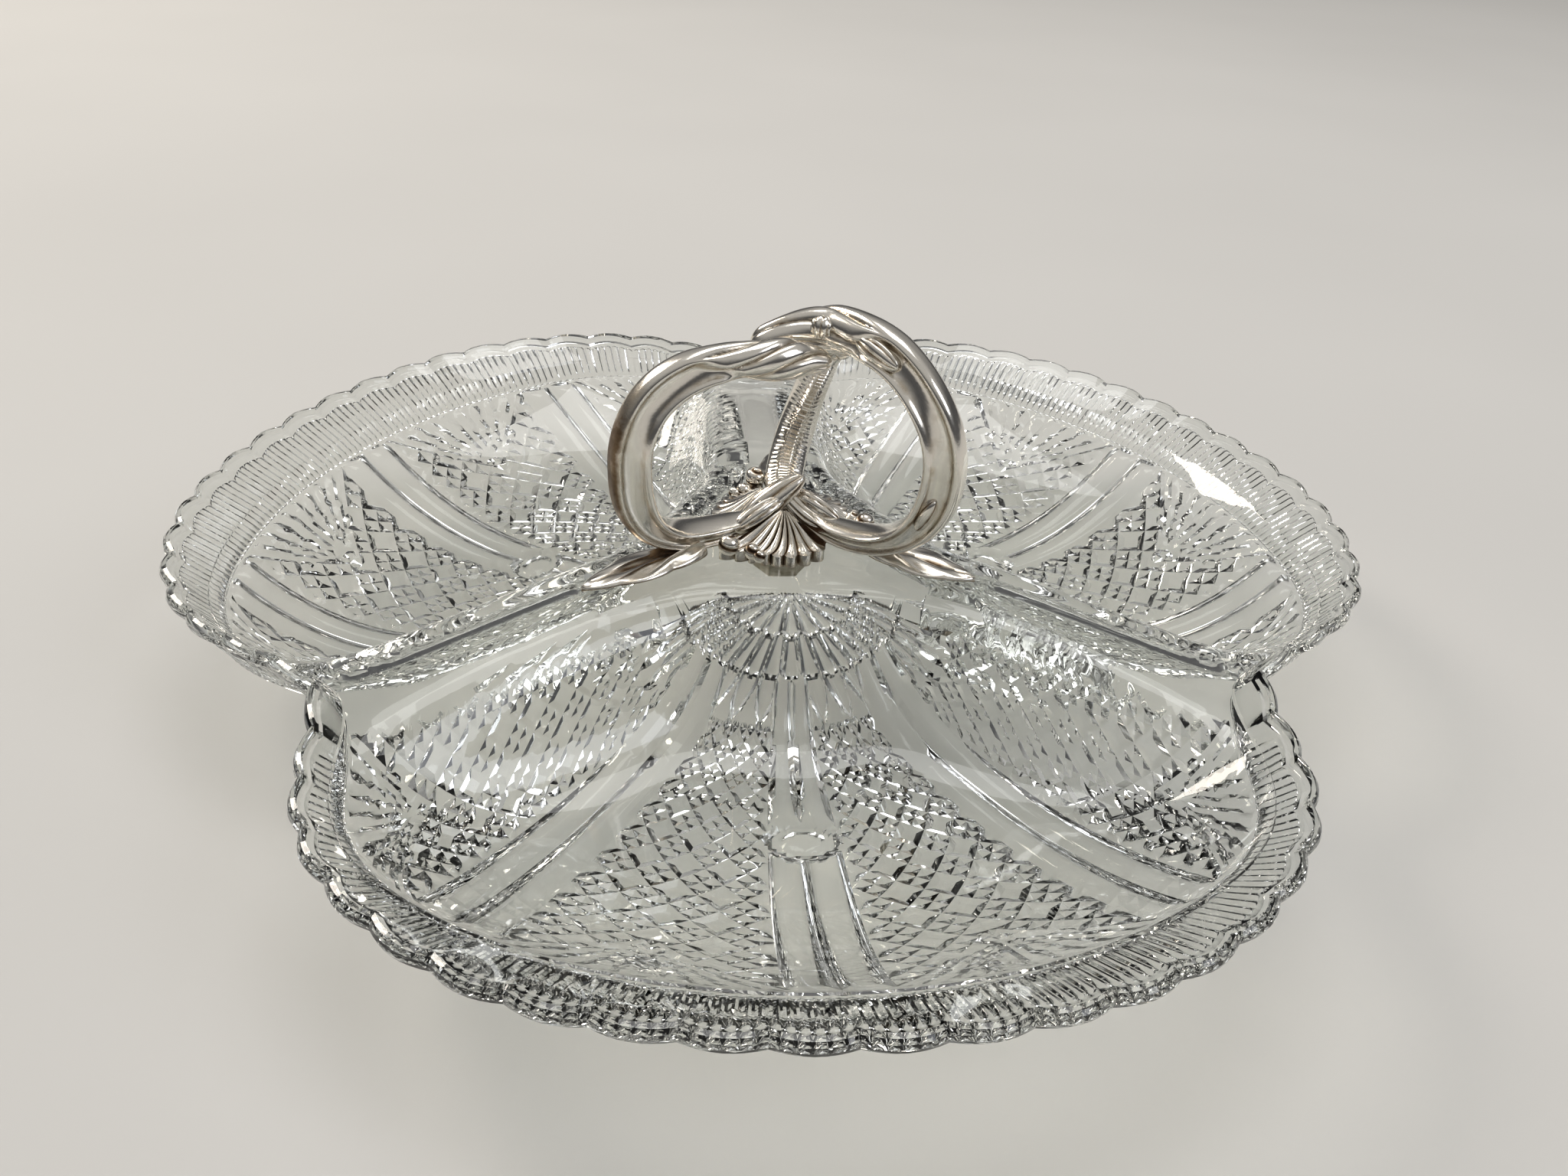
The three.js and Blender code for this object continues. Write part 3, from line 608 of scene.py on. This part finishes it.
handle = {
    "turn": -5, "gap": 0.3, "padThickness": 1.0, "footHalfHeight": 3, "hubHalfHeight": 1.8, "halfHeight": 4.5,
    "halfWidth": 4.1, "footHalfWidth": 4.6, "hubHalfWidth": 2.6,
    "scrollPart": 26 / 34,  # share of the length on the ellipse
    "bulgeAt": 0.86, "bulgeSpread": 0.07, "tipFrom": 0.965, "tipLength": 0.035, "crownGroove": 0.22,
    "rootFlutes": 8, "rootGroove": 0.14, "channelSoil": 0.7, "grooveSoil": 0.6, "rows": 230, "columns": 112,
}
# the left arm alone has brown shade painted along the outer edge of its lower half
leftScroll = {
    "azimuth": 210, "reach": 15.5, "halfSpan": 22.7, "halfHeight": 21.4, "start": -126, "corner": 0.72,
    "run": 20, "drop": 2, "dropPower": 2, "sway": 8, "swayFrom": 0.56, "swayTo": 0.9, "swayBack": 0.0,
    "crownHalfHeight": 3.5, "crownHalfWidth": 4.1, "bulge": 1.0, "tipShare": 0.6, "leafEnd": 52,
    "leafHalfWidth": 6.2, "twist": 150, "fluteFrom": 0.7, "fluteTo": 0.76, "slant": 0.03, "flutes": 2.5,
    "paintedEdgeShade": 0.78, "milled": 0.0, "keel": 0,
}
rightScroll = {
    **leftScroll, "azimuth": 330, "halfHeight": 22.6, "corner": 0.9, "run": 25, "drop": 6.9, "dropPower": 2.6,
    "swayBack": 1.0, "crownHalfHeight": 4.9, "crownHalfWidth": 5, "bulge": 0.0, "tipShare": 0.8,
    "leafEnd": 47, "twist": -75, "fluteFrom": 0.71, "fluteTo": 0.8, "slant": 0.02, "paintedEdgeShade": 0.0,
}
backScroll = {
    "azimuth": 90, "reach": 10, "halfSpan": 16.5, "halfHeight": 19.3, "start": -118, "corner": 1.0,
    "run": 5, "drop": 0.5, "dropPower": 2, "sway": -9.5, "swayFrom": 0.16, "swayTo": 0.66, "swayBack": 0.0,
    "crownHalfHeight": 3.6, "crownHalfWidth": 3.8, "bulge": 0.0, "tipShare": 0.6, "leafEnd": 37,
    "leafHalfWidth": 4.2, "twist": 30, "fluteFrom": 0.84, "fluteTo": 0.94, "slant": 0.0, "flutes": 3.5,
    "paintedEdgeShade": 0.0, "milled": 0.12, "keel": 1,
}
handleBase = hubTop + handle["padThickness"]

# half of the channelled section, outer edge to inner edge: share of half height, share of half width,
# and how much soil stays there
channelSide = np.array([
    [1.0, 0.0, 0.0], [0.99, 0.26, 0.0], [0.93, 0.47, 0.0], [0.82, 0.6, 0.0], [0.7, 0.63, 0.0],
    [0.6, 0.56, 0.5], [0.5, 0.46, 0.6], [0.3, 0.43, 0.25], [0.05, 0.48, 0.2], [-0.2, 0.57, 0.25],
    [-0.38, 0.69, 0.5], [-0.48, 0.86, 0.25], [-0.6, 0.98, 0.0], [-0.76, 0.92, 0.0], [-0.93, 0.52, 0.0],
    [-1.0, 0.0, 0.0],
])
# half of the back arm's section: its inner edge is a narrow keel
keelSide = np.array([
    [1.0, 0.0, 0.0], [0.98, 0.3, 0.0], [0.9, 0.6, 0.0], [0.7, 0.85, 0.0], [0.42, 0.98, 0.0],
    [0.15, 1.0, 0.0], [-0.05, 0.96, 0.1], [-0.25, 0.84, 0.2], [-0.45, 0.67, 0.2], [-0.62, 0.5, 0.3],
    [-0.76, 0.38, 0.5], [-0.88, 0.33, 0.2], [-0.96, 0.27, 0.0], [-1.0, 0.19, 0.0], [-1.0, 0.09, 0.0],
    [-1.0, 0.0, 0.0],
])


# a smooth closed curve through points, sampled evenly by point number
def smoothLoop(corners, count):
    t = np.arange(count) * len(corners) / count
    k = t.astype(int)
    f = (t - k)[:, None]
    p0, p1, p2, p3 = (corners[(k + s) % len(corners)] for s in (-1, 0, 1, 2))
    return 0.5 * (2 * p1 + (p2 - p0) * f + (2 * p0 - 5 * p1 + 4 * p2 - p3) * f * f
                  + (3 * p1 - p0 - 3 * p2 + p3) * f ** 3)


# power of a number's size, with its sign kept
def signedPower(value, power):
    return np.sign(value) * np.abs(value) ** power


# middle line of an arm over the X axis: part of an ellipse, then a run past the axis; the lower outer
# quarter takes its sine and cosine to a power below one, which squares the corner by the foot
def armPath(scroll, share):
    turn = np.radians(blendTo(scroll["start"], 90, np.minimum(share / handle["scrollPart"], 1)))
    past = np.maximum(share - handle["scrollPart"], 0) / (1 - handle["scrollPart"])
    rise = handleBase + handle["gap"] + handle["footHalfHeight"] + scroll["halfHeight"]
    power = np.where((turn > -np.pi / 2) & (turn < 0), scroll["corner"], 1.0)
    x = scroll["reach"] + scroll["halfSpan"] * signedPower(np.cos(turn), power) - scroll["run"] * past
    swayed = ease(share, scroll["swayFrom"], scroll["swayTo"]) - scroll["swayBack"] * ease(past, 0.3, 1)
    y = scroll["sway"] * swayed
    fall = scroll["drop"] * past ** scroll["dropPower"]
    z = rise + scroll["halfHeight"] * signedPower(np.sin(turn), power) - fall
    return np.stack([x, y, z], 1), np.array([scroll["reach"], 0, rise])


# half height and half width along an arm: slim at the hub, full by the foot, eased again into the crown
def armSize(scroll, share):
    height = blendTo(handle["hubHalfHeight"], handle["footHalfHeight"], ease(share, 0, 0.16))
    height = blendTo(height, handle["halfHeight"], ease(share, 0.2, 0.42))
    height = blendTo(height, scroll["crownHalfHeight"], ease(share, 0.6, 0.8))
    height = height * blendTo(1, scroll["tipShare"], ease(share, 0.88, 1))
    width = blendTo(handle["hubHalfWidth"], handle["footHalfWidth"], ease(share, 0, 0.2))
    width = blendTo(width, handle["halfWidth"], ease(share, 0.3, 0.45))
    width = blendTo(width, scroll["crownHalfWidth"], ease(share, 0.62, 0.82))
    return height, width


# triangles of a tube of sections, with a point closing each end
def tubeFaces(rows, count):
    index = np.arange(rows * count).reshape(rows, count)
    a, b = index[:-1], index[1:]
    body = np.stack([a, np.roll(a, -1, 1), np.roll(b, -1, 1), b], 2).reshape(-1, 4)
    first, last = rows * count, rows * count + 1
    start = np.stack([np.roll(index[0], -1), index[0], np.full(count, first)], 1)
    end = np.stack([index[-1], np.roll(index[-1], -1), np.full(count, last)], 1)
    return np.concatenate([body[:, [0, 1, 2]], start, end, body[:, [0, 2, 3]]])


# points, triangles and soil of a tube given as a grid of points, with its two end points
def closedTube(grid, ends, soil):
    points = np.concatenate([grid.reshape(-1, 3), ends])
    return points, tubeFaces(*grid.shape[:2]), np.concatenate([soil.ravel(), [0, 0]])


# path points with the tangent, the direction out of the scroll and the direction to its side
def armFrame(scroll, share):
    path, centre = armPath(scroll, share)
    nudge = 0.002
    before, _ = armPath(scroll, np.maximum(share - nudge, 0))
    after, _ = armPath(scroll, np.minimum(share + nudge, 1))
    along = after - before
    along /= np.linalg.norm(along, axis=1, keepdims=True)
    out = (path - centre) * np.array([1, 0, 1])
    out -= along * np.sum(out * along, 1, keepdims=True)
    out /= np.linalg.norm(out, axis=1, keepdims=True)
    return path, along, out, np.cross(along, out)


# sections along an arm and their soil, with brown shade painted along the outer edge where the scroll asks:
# the channel, turning into spiral flutes at the crown and into lengthwise flutes where it comes out of the
# boss
def armSections(scroll, share):
    half = blendTo(channelSide, keelSide, scroll["keel"])
    mirrorSide = half[-2:0:-1] * np.array([1, -1, 1])
    channel = smoothLoop(np.concatenate([half, mirrorSide]), handle["columns"])
    angle = np.arctan2(channel[:, 1], channel[:, 0])
    evenAngle = np.arange(handle["columns"]) / handle["columns"] * 2 * np.pi
    evenSpot = np.stack([np.cos(evenAngle), np.sin(evenAngle)], 1)[None]

    lap = ease(share, scroll["fluteFrom"], 1.0)[:, None] * math.radians(scroll["twist"])
    groove = (1 - np.abs(np.cos(scroll["flutes"] * (evenAngle + lap)))) ** 1.8
    fluted = evenSpot * (1.02 - handle["crownGroove"] * groove)[..., None]
    start = scroll["slant"] * np.cos(angle)  # flutes bite in earlier on one edge: the channel ends on a slant
    amount = ease(share[:, None] + start, scroll["fluteFrom"], scroll["fluteTo"])
    rootGroove = (1 - np.abs(np.cos(handle["rootFlutes"] / 2 * evenAngle))) ** 1.4 + 0 * share[:, None]
    root = evenSpot * (0.98 - handle["rootGroove"] * rootGroove)[..., None]
    low = 1 - ease(share, 0.04, 0.11)[:, None]
    section = blendTo(channel[None, :, :2] + 0 * share[:, None, None], root, low[..., None])
    section = blendTo(section, fluted, amount[..., None])

    # fine milling along the inner edge, then a rounded tip
    inner = np.clip(-np.cos(angle) * 1.6 - 0.3, 0, 1) * (1 - amount)
    teeth = np.sign(np.sin(2 * np.pi * np.arange(len(share)) / 3))[:, None]
    section = section * (1 - scroll["milled"] * 0.5 * inner * (1 + teeth))[..., None]
    pastTip = np.clip((share - handle["tipFrom"]) / handle["tipLength"], 0, 1)
    section = section * np.sqrt(np.clip(1 - pastTip ** 2, 0.02, 1))[:, None, None]

    # painted shade: the outer edge of the lower half of the arm is darkened brown, as if in shade
    outer = scroll["paintedEdgeShade"] * ease(np.cos(angle), 0.55, 0.95) * (1 - ease(share, 0.48, 0.68))[:, None]
    soil = np.maximum(handle["channelSoil"] * channel[:, 2], outer)
    soil = blendTo(soil, rootGroove * handle["grooveSoil"], low)
    return section, blendTo(soil, groove * handle["grooveSoil"], amount)


# arm: its sections carried along the path
def armTube(scroll):
    share = np.linspace(0, 1, handle["rows"])
    path, _, out, side = armFrame(scroll, share)
    height, width = armSize(scroll, share)
    height = height + scroll["bulge"] * np.exp(-(((share - handle["bulgeAt"]) / handle["bulgeSpread"]) ** 2))
    section, soil = armSections(scroll, share)
    grid = (path[:, None] + section[..., :1] * height[:, None, None] * out[:, None]
            + section[..., 1:] * width[:, None, None] * side[:, None])
    return closedTube(grid, path[[0, -1]], soil)


# latitudes and longitudes of a ball that stops just short of its poles
def ballAngles(rows, columns):
    quarter = math.pi / 2 - 0.02
    return np.linspace(-quarter, quarter, rows)[:, None], np.arange(columns) / columns * 2 * np.pi


# small cast ornament: a ball stretched along three axes at right angles, with grooves that run lengthwise
# (flutes) or wind round (turns)
def flutedBall(middle, axes, size, flutes, turns):
    lat, lon = ballAngles(30, 48)
    grooveDepth, grooveSoil = 0.16, 0.8
    groove = (1 - np.abs(np.cos(flutes / 2 * lon + turns * lat))) ** 1.4
    r = (1 - grooveDepth * groove) * np.cos(lat)
    ball = np.stack([np.sin(lat) + 0 * lon, r * np.cos(lon), r * np.sin(lon)], 2)
    points, faces, soil = closedTube(ball, [[-1, 0, 0], [1, 0, 0]], groove * grooveSoil)
    return middle + (points * np.array(size)) @ axes, faces, soil


# an ornament laid on an arm: along its path, out of the scroll and to its side
def ornament(scroll, share, outShare, sideShare, size, flutes, turns):
    path, along, out, side = armFrame(scroll, np.array([share]))
    height, width = armSize(scroll, np.array([share]))
    middle = path[0] + out[0] * height[0] * outShare + side[0] * width[0] * sideShare
    return flutedBall(middle, np.stack([along[0], out[0], side[0]]), size, flutes, turns)


# rolled ribbon across the foot of the back arm, over the seam where the arms and shells meet
collar = {
    "middle": (-3.2, -1.6, 44.2), "along": (14.1, 2.5, 10.4), "lean": (0.0, 0.6, 0.8),
    "size": (9.6, 3.3, 2.8), "flutes": 6, "turns": 0.5,
}


def collarRoll():
    along = np.array(collar["along"]) / np.linalg.norm(collar["along"])
    front = np.cross(along, collar["lean"])
    front = np.cross(front, along) / np.linalg.norm(front)
    axes = np.stack([along, front, np.cross(along, front)])
    return flutedBall(np.array(collar["middle"]), axes, collar["size"], collar["flutes"], collar["turns"])


leaf = {
    "rootStep": 7, "halfThickness": 1.9, "tipThickness": 0.35, "lobes": 2.5, "lobeDepth": 0.14,
    "veinWidth": 0.16, "veinDepth": 0.5, "ribs": 5, "ribSlant": 2.6, "ribDepth": 0.09,
    "rows": 60, "columns": 48,
}


# leaf foot: a lens-shaped section along the ridge, lobed at its edges, veined, drooping to a pointed tip
def leafTube(scroll):
    part = np.linspace(0, 1, leaf["rows"])
    reach = blendTo(scroll["reach"] + leaf["rootStep"], scroll["leafEnd"], part)
    width = scroll["leafHalfWidth"] * (0.4 + 0.6 * np.sin(np.pi * (0.12 + 0.62 * part)))
    lobes = np.abs(np.sin(np.pi * (leaf["lobes"] * part ** 0.8))) ** 0.7
    pointed = np.clip(1 - part ** 3.5, 0.01, 1) ** 0.75
    width = width * (1 - leaf["lobeDepth"] + leaf["lobeDepth"] * lobes) * pointed
    thick = leaf["halfThickness"] * blendTo(1, leaf["tipThickness"], part)
    middle = np.maximum(crestHeight(reach), crestHeight(scroll["leafEnd"])) + 2 * handle["gap"] + thick
    angle = np.arange(leaf["columns"]) / leaf["columns"] * 2 * np.pi
    across, up = np.cos(angle), np.sin(angle)
    vein = np.exp(-((across / leaf["veinWidth"]) ** 2)) * leaf["veinDepth"]
    ribWave = leaf["ribs"] * part[:, None] - leaf["ribSlant"] * np.abs(across)
    ribs = leaf["ribDepth"] * np.cos(np.pi * ribWave)
    top = np.where(up > 0, up * (1 - vein + ribs * 1.2), up * 0.9)
    grid = np.stack([
        np.broadcast_to(reach[:, None], top.shape),
        across * width[:, None] + 0 * top,
        middle[:, None] + top * thick[:, None],
    ], 2)
    soil = np.where(up > 0, vein * 1.2 + np.clip(-ribs * 9, 0, 1) * 0.4, 0.6)
    return closedTube(grid, [grid[0].mean(0), grid[-1].mean(0)], soil)


# parts put together as one mesh: points, triangles and soil
def joined(parts):
    points, faces, marks, start = [], [], [], 0
    for p, f, m in parts:
        points.append(p)
        faces.append(f + start)
        marks.append(m)
        start += len(p)
    return np.concatenate(points), np.concatenate(faces), np.concatenate(marks)


# cast ornaments: share along the arm, place on its section, half sizes, flutes, turns
ornaments = {
    "left": [(0.05, -0.7, 0.75, (7.0, 3.0, 2.4), 8, 1.2)],
    "right": [(0.72, -0.1, 0.62, (6.5, 2.6, 1.9), 6, 0.5), (0.72, -0.1, -0.62, (6.5, 2.6, 1.9), 6, -0.5),
              (0.87, 0.2, 0.86, (2.6, 2.6, 2.1), 2, 5.0), (0.87, 0.2, -0.86, (2.6, 2.6, 2.1), 2, 5.0),
              (0.36, -0.1, 0.55, (4.5, 1.8, 1.5), 4, 0.6), (0.36, -0.1, -0.55, (4.5, 1.8, 1.5), 4, -0.6),
              (0.05, -0.7, 0.75, (7.0, 3.0, 2.4), 8, 1.2)],
    "back": [(0.05, -0.7, 0.75, (6.0, 2.8, 2.2), 8, 1.2)],
}
for side, scroll in (("left", leftScroll), ("right", rightScroll), ("back", backScroll)):
    arm = joined([armTube(scroll)] + [ornament(scroll, *spot) for spot in ornaments[side]])
    foot = leafTube(scroll)
    parts = [(turned(arm[0], scroll["azimuth"] + handle["turn"]), *arm[1:]),
             (turned(foot[0], scroll["azimuth"]), *foot[1:])]
    if side == "back":
        parts.append(collarRoll())
    points, faces, tarnishAndShade = joined(parts)
    newPiece("scrollArm." + side, points, faces, silver, ["handle_arm_" + side],
             castSharpAngle, tarnishAndShade)


# Shell flares between the arms

shell = {
    "reach": 17, "voluteReach": 17.5, "plainReach": 12, "height": 8, "edgeHeight": 2, "skirt": 0.7,
    "ribs": 8, "ribDepth": 1.5, "spread": 60, "sweep": 14, "columns": 126, "rows": 34,
    "volute": 2.5, "voluteShare": -0.87, "voluteRise": 1,
    "curls": ((-0.6, 1.9), (-0.42, 1.5)),  # share of the spread, radius
    "curlInset": 4.8, "curlRise": 0.2,
}
shellApex = (handle["footHalfWidth"] + handle["gap"]) / math.sin(math.radians(60))


# shell: ribs fan from a point between two arms and droop on a quarter wave to a scalloped edge;
# the section runs over the top and back underneath
def shellMesh():
    spread = np.linspace(-1, 1, shell["columns"] + 1)[:, None]
    part = np.linspace(0.06, 1, shell["rows"])[None]
    rib = np.abs(np.sin(np.pi * shell["ribs"] * (spread + 1) / 2)) ** 0.7
    sideReach = np.where(spread < 0, shell["voluteReach"], shell["plainReach"])
    edge = blendTo(shell["reach"] - shellApex, sideReach, spread ** 2)
    reach = (edge + shell["ribDepth"] * (rib - 1) * part) * part
    z = blendTo(shell["height"], shell["edgeHeight"], np.sin(np.pi / 2 * part) ** 1.3)
    z = z + shell["ribDepth"] * (rib - 0.6) * np.sin(np.pi * part ** 0.8) * 0.75
    bent = shell["sweep"] * part ** 2 * (1 - spread ** 2)  # ribs bend to the volute
    angle = np.radians(shell["spread"] * spread - bent)
    x = shellApex + reach * np.cos(angle)
    y = reach * np.sin(angle)
    upper = np.stack([x, y, handleBase + z], 2)
    skirt = shell["skirt"] * ease(part, 0.78, 0.96)
    lower = np.stack([x, y, handleBase - np.broadcast_to(skirt, x.shape)], 2)[:, ::-1]
    grid = np.concatenate([upper, lower], 1)
    soil = np.concatenate([np.clip(1.1 - 1.3 * rib, 0, 1) + 0 * part, 0.5 + 0 * x], 1)
    return closedTube(grid, [grid[0].mean(0), grid[-1].mean(0)], soil)


# round curl on a shell: a ball with a spiral groove, at a share of the spread and a reach from the apex
def curlMesh(share, reach, rise, size, turns):
    lat, lon = ballAngles(26, 40)
    groove = 0.5 + 0.5 * np.cos(lon + turns * 2 * np.pi * (lat / math.pi + 0.5))
    grooveDepth = 0.12
    r = size * (1 - grooveDepth * groove ** 3)
    flat = r * np.cos(lat)
    ball = np.stack([flat * np.cos(lon), flat * np.sin(lon), r * np.sin(lat) + 0 * lon], 2)
    points, faces, soil = closedTube(ball, [[0, 0, -size], [0, 0, size]], groove ** 3)
    a = math.radians(share * shell["spread"])
    centre = (shellApex + reach * math.cos(a), reach * math.sin(a), handleBase + size + rise)
    return points + np.array(centre), faces, soil


for side, azimuth in (("front", 270), ("right", 30), ("left", 150)):
    voluteReach = shell["voluteReach"] - shell["volute"]
    volute = curlMesh(shell["voluteShare"], voluteReach, shell["voluteRise"], shell["volute"], 2)
    parts = [shellMesh(), volute]
    for share, size in shell["curls"]:
        reach = shell["voluteReach"] - shell["curlInset"] + 2 * share
        parts.append(curlMesh(share, reach, shell["curlRise"], size, 1.5))
    points, faces, tarnishAndShade = joined(parts)
    newPiece("shellFlare." + side, turned(points, azimuth + handle["turn"]), faces, silver,
             ["handle_shell_" + side], castSharpAngle, tarnishAndShade)


# Boss and the fixing under it keep their turned shapes

finishes = {
    "handle_hub": silver, "upper_pad": leather, "lower_pad": leather,
    "lower_washer": nickel, "tie_stud": nickel, "retaining_nut": nickel,
}
for name, finish in finishes.items():
    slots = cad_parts[name].data.materials
    slots.clear()
    slots.append(finish)
print("fixing dressed")


# Studio: pale floor, soft lights, camera at the photograph's angle

studio = {
    "floorSize": 6.0, "floorDrop": 0.0005, "worldStrength": 0.5, "aim": (0, 0, 0.03),
    "worldLow": (0.25, "#6a6a6c"),  # dark round the sides, so that facets and rims draw lines
    "worldHigh": (0.75, "#f4f2ee"),
}
# lamps: place and size in metres, watts, colour
lamps = {
    "keyLight": ((-1.4, 1.15, 1.4), (0.7, 0.7), 21, "#fff6ea"),
    "fillLight": ((1.6, -1.0, 1.5), (1.2, 1.2), 14, "#f2f6ff"),
    "topLight": ((0.1, 0.6, 2.0), (1.4, 1.0), 12, "#ffffff"),
}
# camera fitted to the photograph: degrees, then millimetres; focal length and width in its pixels
shot = {
    "azimuth": 6.49, "elevation": 32.64, "roll": -3.22, "distance": 307.7, "aimX": 1.2, "aimZ": 19.6,
    "focal": 1675.4, "imageWide": 2048, "sensorWide": 36,
}


# Painted studio board: matt off-white with a faint unevenness
def stageFloor():
    material, tree = newMaterial("paleFloor")
    cloud = noiseOf(tree, 4, 2)  # clouds of about 250 mm
    shader = addNode(tree, "ShaderNodeBsdfPrincipled", {"Roughness": 0.8},
                     {"Base Color": rampOf(tree, cloud, (0, "#cfcdc9"), (1, "#d8d6d2"))})
    surfaceFrom(tree, shader.outputs["BSDF"])
    s, z = studio["floorSize"] / 2, -studio["floorDrop"]
    mesh = bpy.data.meshes.new("studioFloor")
    mesh.from_pydata([(-s, -s, z), (s, -s, z), (s, s, z), (-s, s, z)], [], [(0, 1, 2, 3)])
    mesh.materials.append(material)
    floor = bpy.data.objects.new("studioFloor", mesh)
    bpy.context.scene.collection.objects.link(floor)


def stageWorld():
    world = bpy.data.worlds.new("studioWorld")
    bpy.context.scene.world = world
    world.use_nodes = True
    tree = world.node_tree
    tree.nodes.clear()
    place = addNode(tree, "ShaderNodeTexCoord")
    axes = addNode(tree, "ShaderNodeSeparateXYZ", links={"Vector": place.outputs["Generated"]})
    colour = rampOf(tree, axes.outputs["Z"], studio["worldLow"], studio["worldHigh"])
    back = addNode(tree, "ShaderNodeBackground", {"Strength": studio["worldStrength"]}, {"Color": colour})
    addNode(tree, "ShaderNodeOutputWorld", links={"Surface": back.outputs["Background"]})


# put a lamp or camera in the scene by its right, up and backward directions and its place
def placeHolder(name, data, right, up, back, spot):
    holder = bpy.data.objects.new(name, data)
    bpy.context.scene.collection.objects.link(holder)
    rows = [[right[k], up[k], back[k], spot[k]] for k in range(3)] + [[0, 0, 0, 1]]
    holder.matrix_world = Matrix(rows)
    return holder


def stageLight(name, spot, size, power, tint):
    lamp = bpy.data.lights.new(name, "AREA")
    lamp.shape = "RECTANGLE"
    lamp.size, lamp.size_y = size
    lamp.energy = power
    lamp.color = linearColour(tint)[:3]
    back = np.array(spot, float) - np.array(studio["aim"], float)
    back /= np.linalg.norm(back)
    right = np.cross([0, 0, 1], back)
    right /= np.linalg.norm(right)
    placeHolder(name, lamp, right, np.cross(back, right), back, spot)


# the view is worked out straight from the front, rolled, then turned back by the azimuth
def stageCamera():
    az, el, roll = (math.radians(shot[k]) for k in ("azimuth", "elevation", "roll"))
    back = np.array([0, -math.cos(el), math.sin(el)])
    right = np.array([1.0, 0, 0])
    up = np.cross(back, right)
    eye = np.array([shot["aimX"], 0, shot["aimZ"]]) + back * shot["distance"]
    cameraRight = right * math.cos(roll) - up * math.sin(roll)
    cameraUp = right * math.sin(roll) + up * math.cos(roll)
    unturn = np.array([[math.cos(az), math.sin(az), 0], [-math.sin(az), math.cos(az), 0], [0, 0, 1]])
    spot = (unturn @ eye + np.array([axisX, axisY, 0])) / 1000
    lens = bpy.data.cameras.new("photoCamera")
    lens.sensor_width = shot["sensorWide"]
    lens.lens = shot["focal"] / shot["imageWide"] * shot["sensorWide"]
    lens.clip_start = 0.01
    camera = placeHolder("photoCamera", lens, *(unturn @ v for v in (cameraRight, cameraUp, back)), spot)
    bpy.context.scene.camera = camera


stageFloor()
stageWorld()
for name, values in lamps.items():
    stageLight(name, *values)
stageCamera()
bpy.context.scene.view_settings.view_transform = "Standard"
print("studio set")
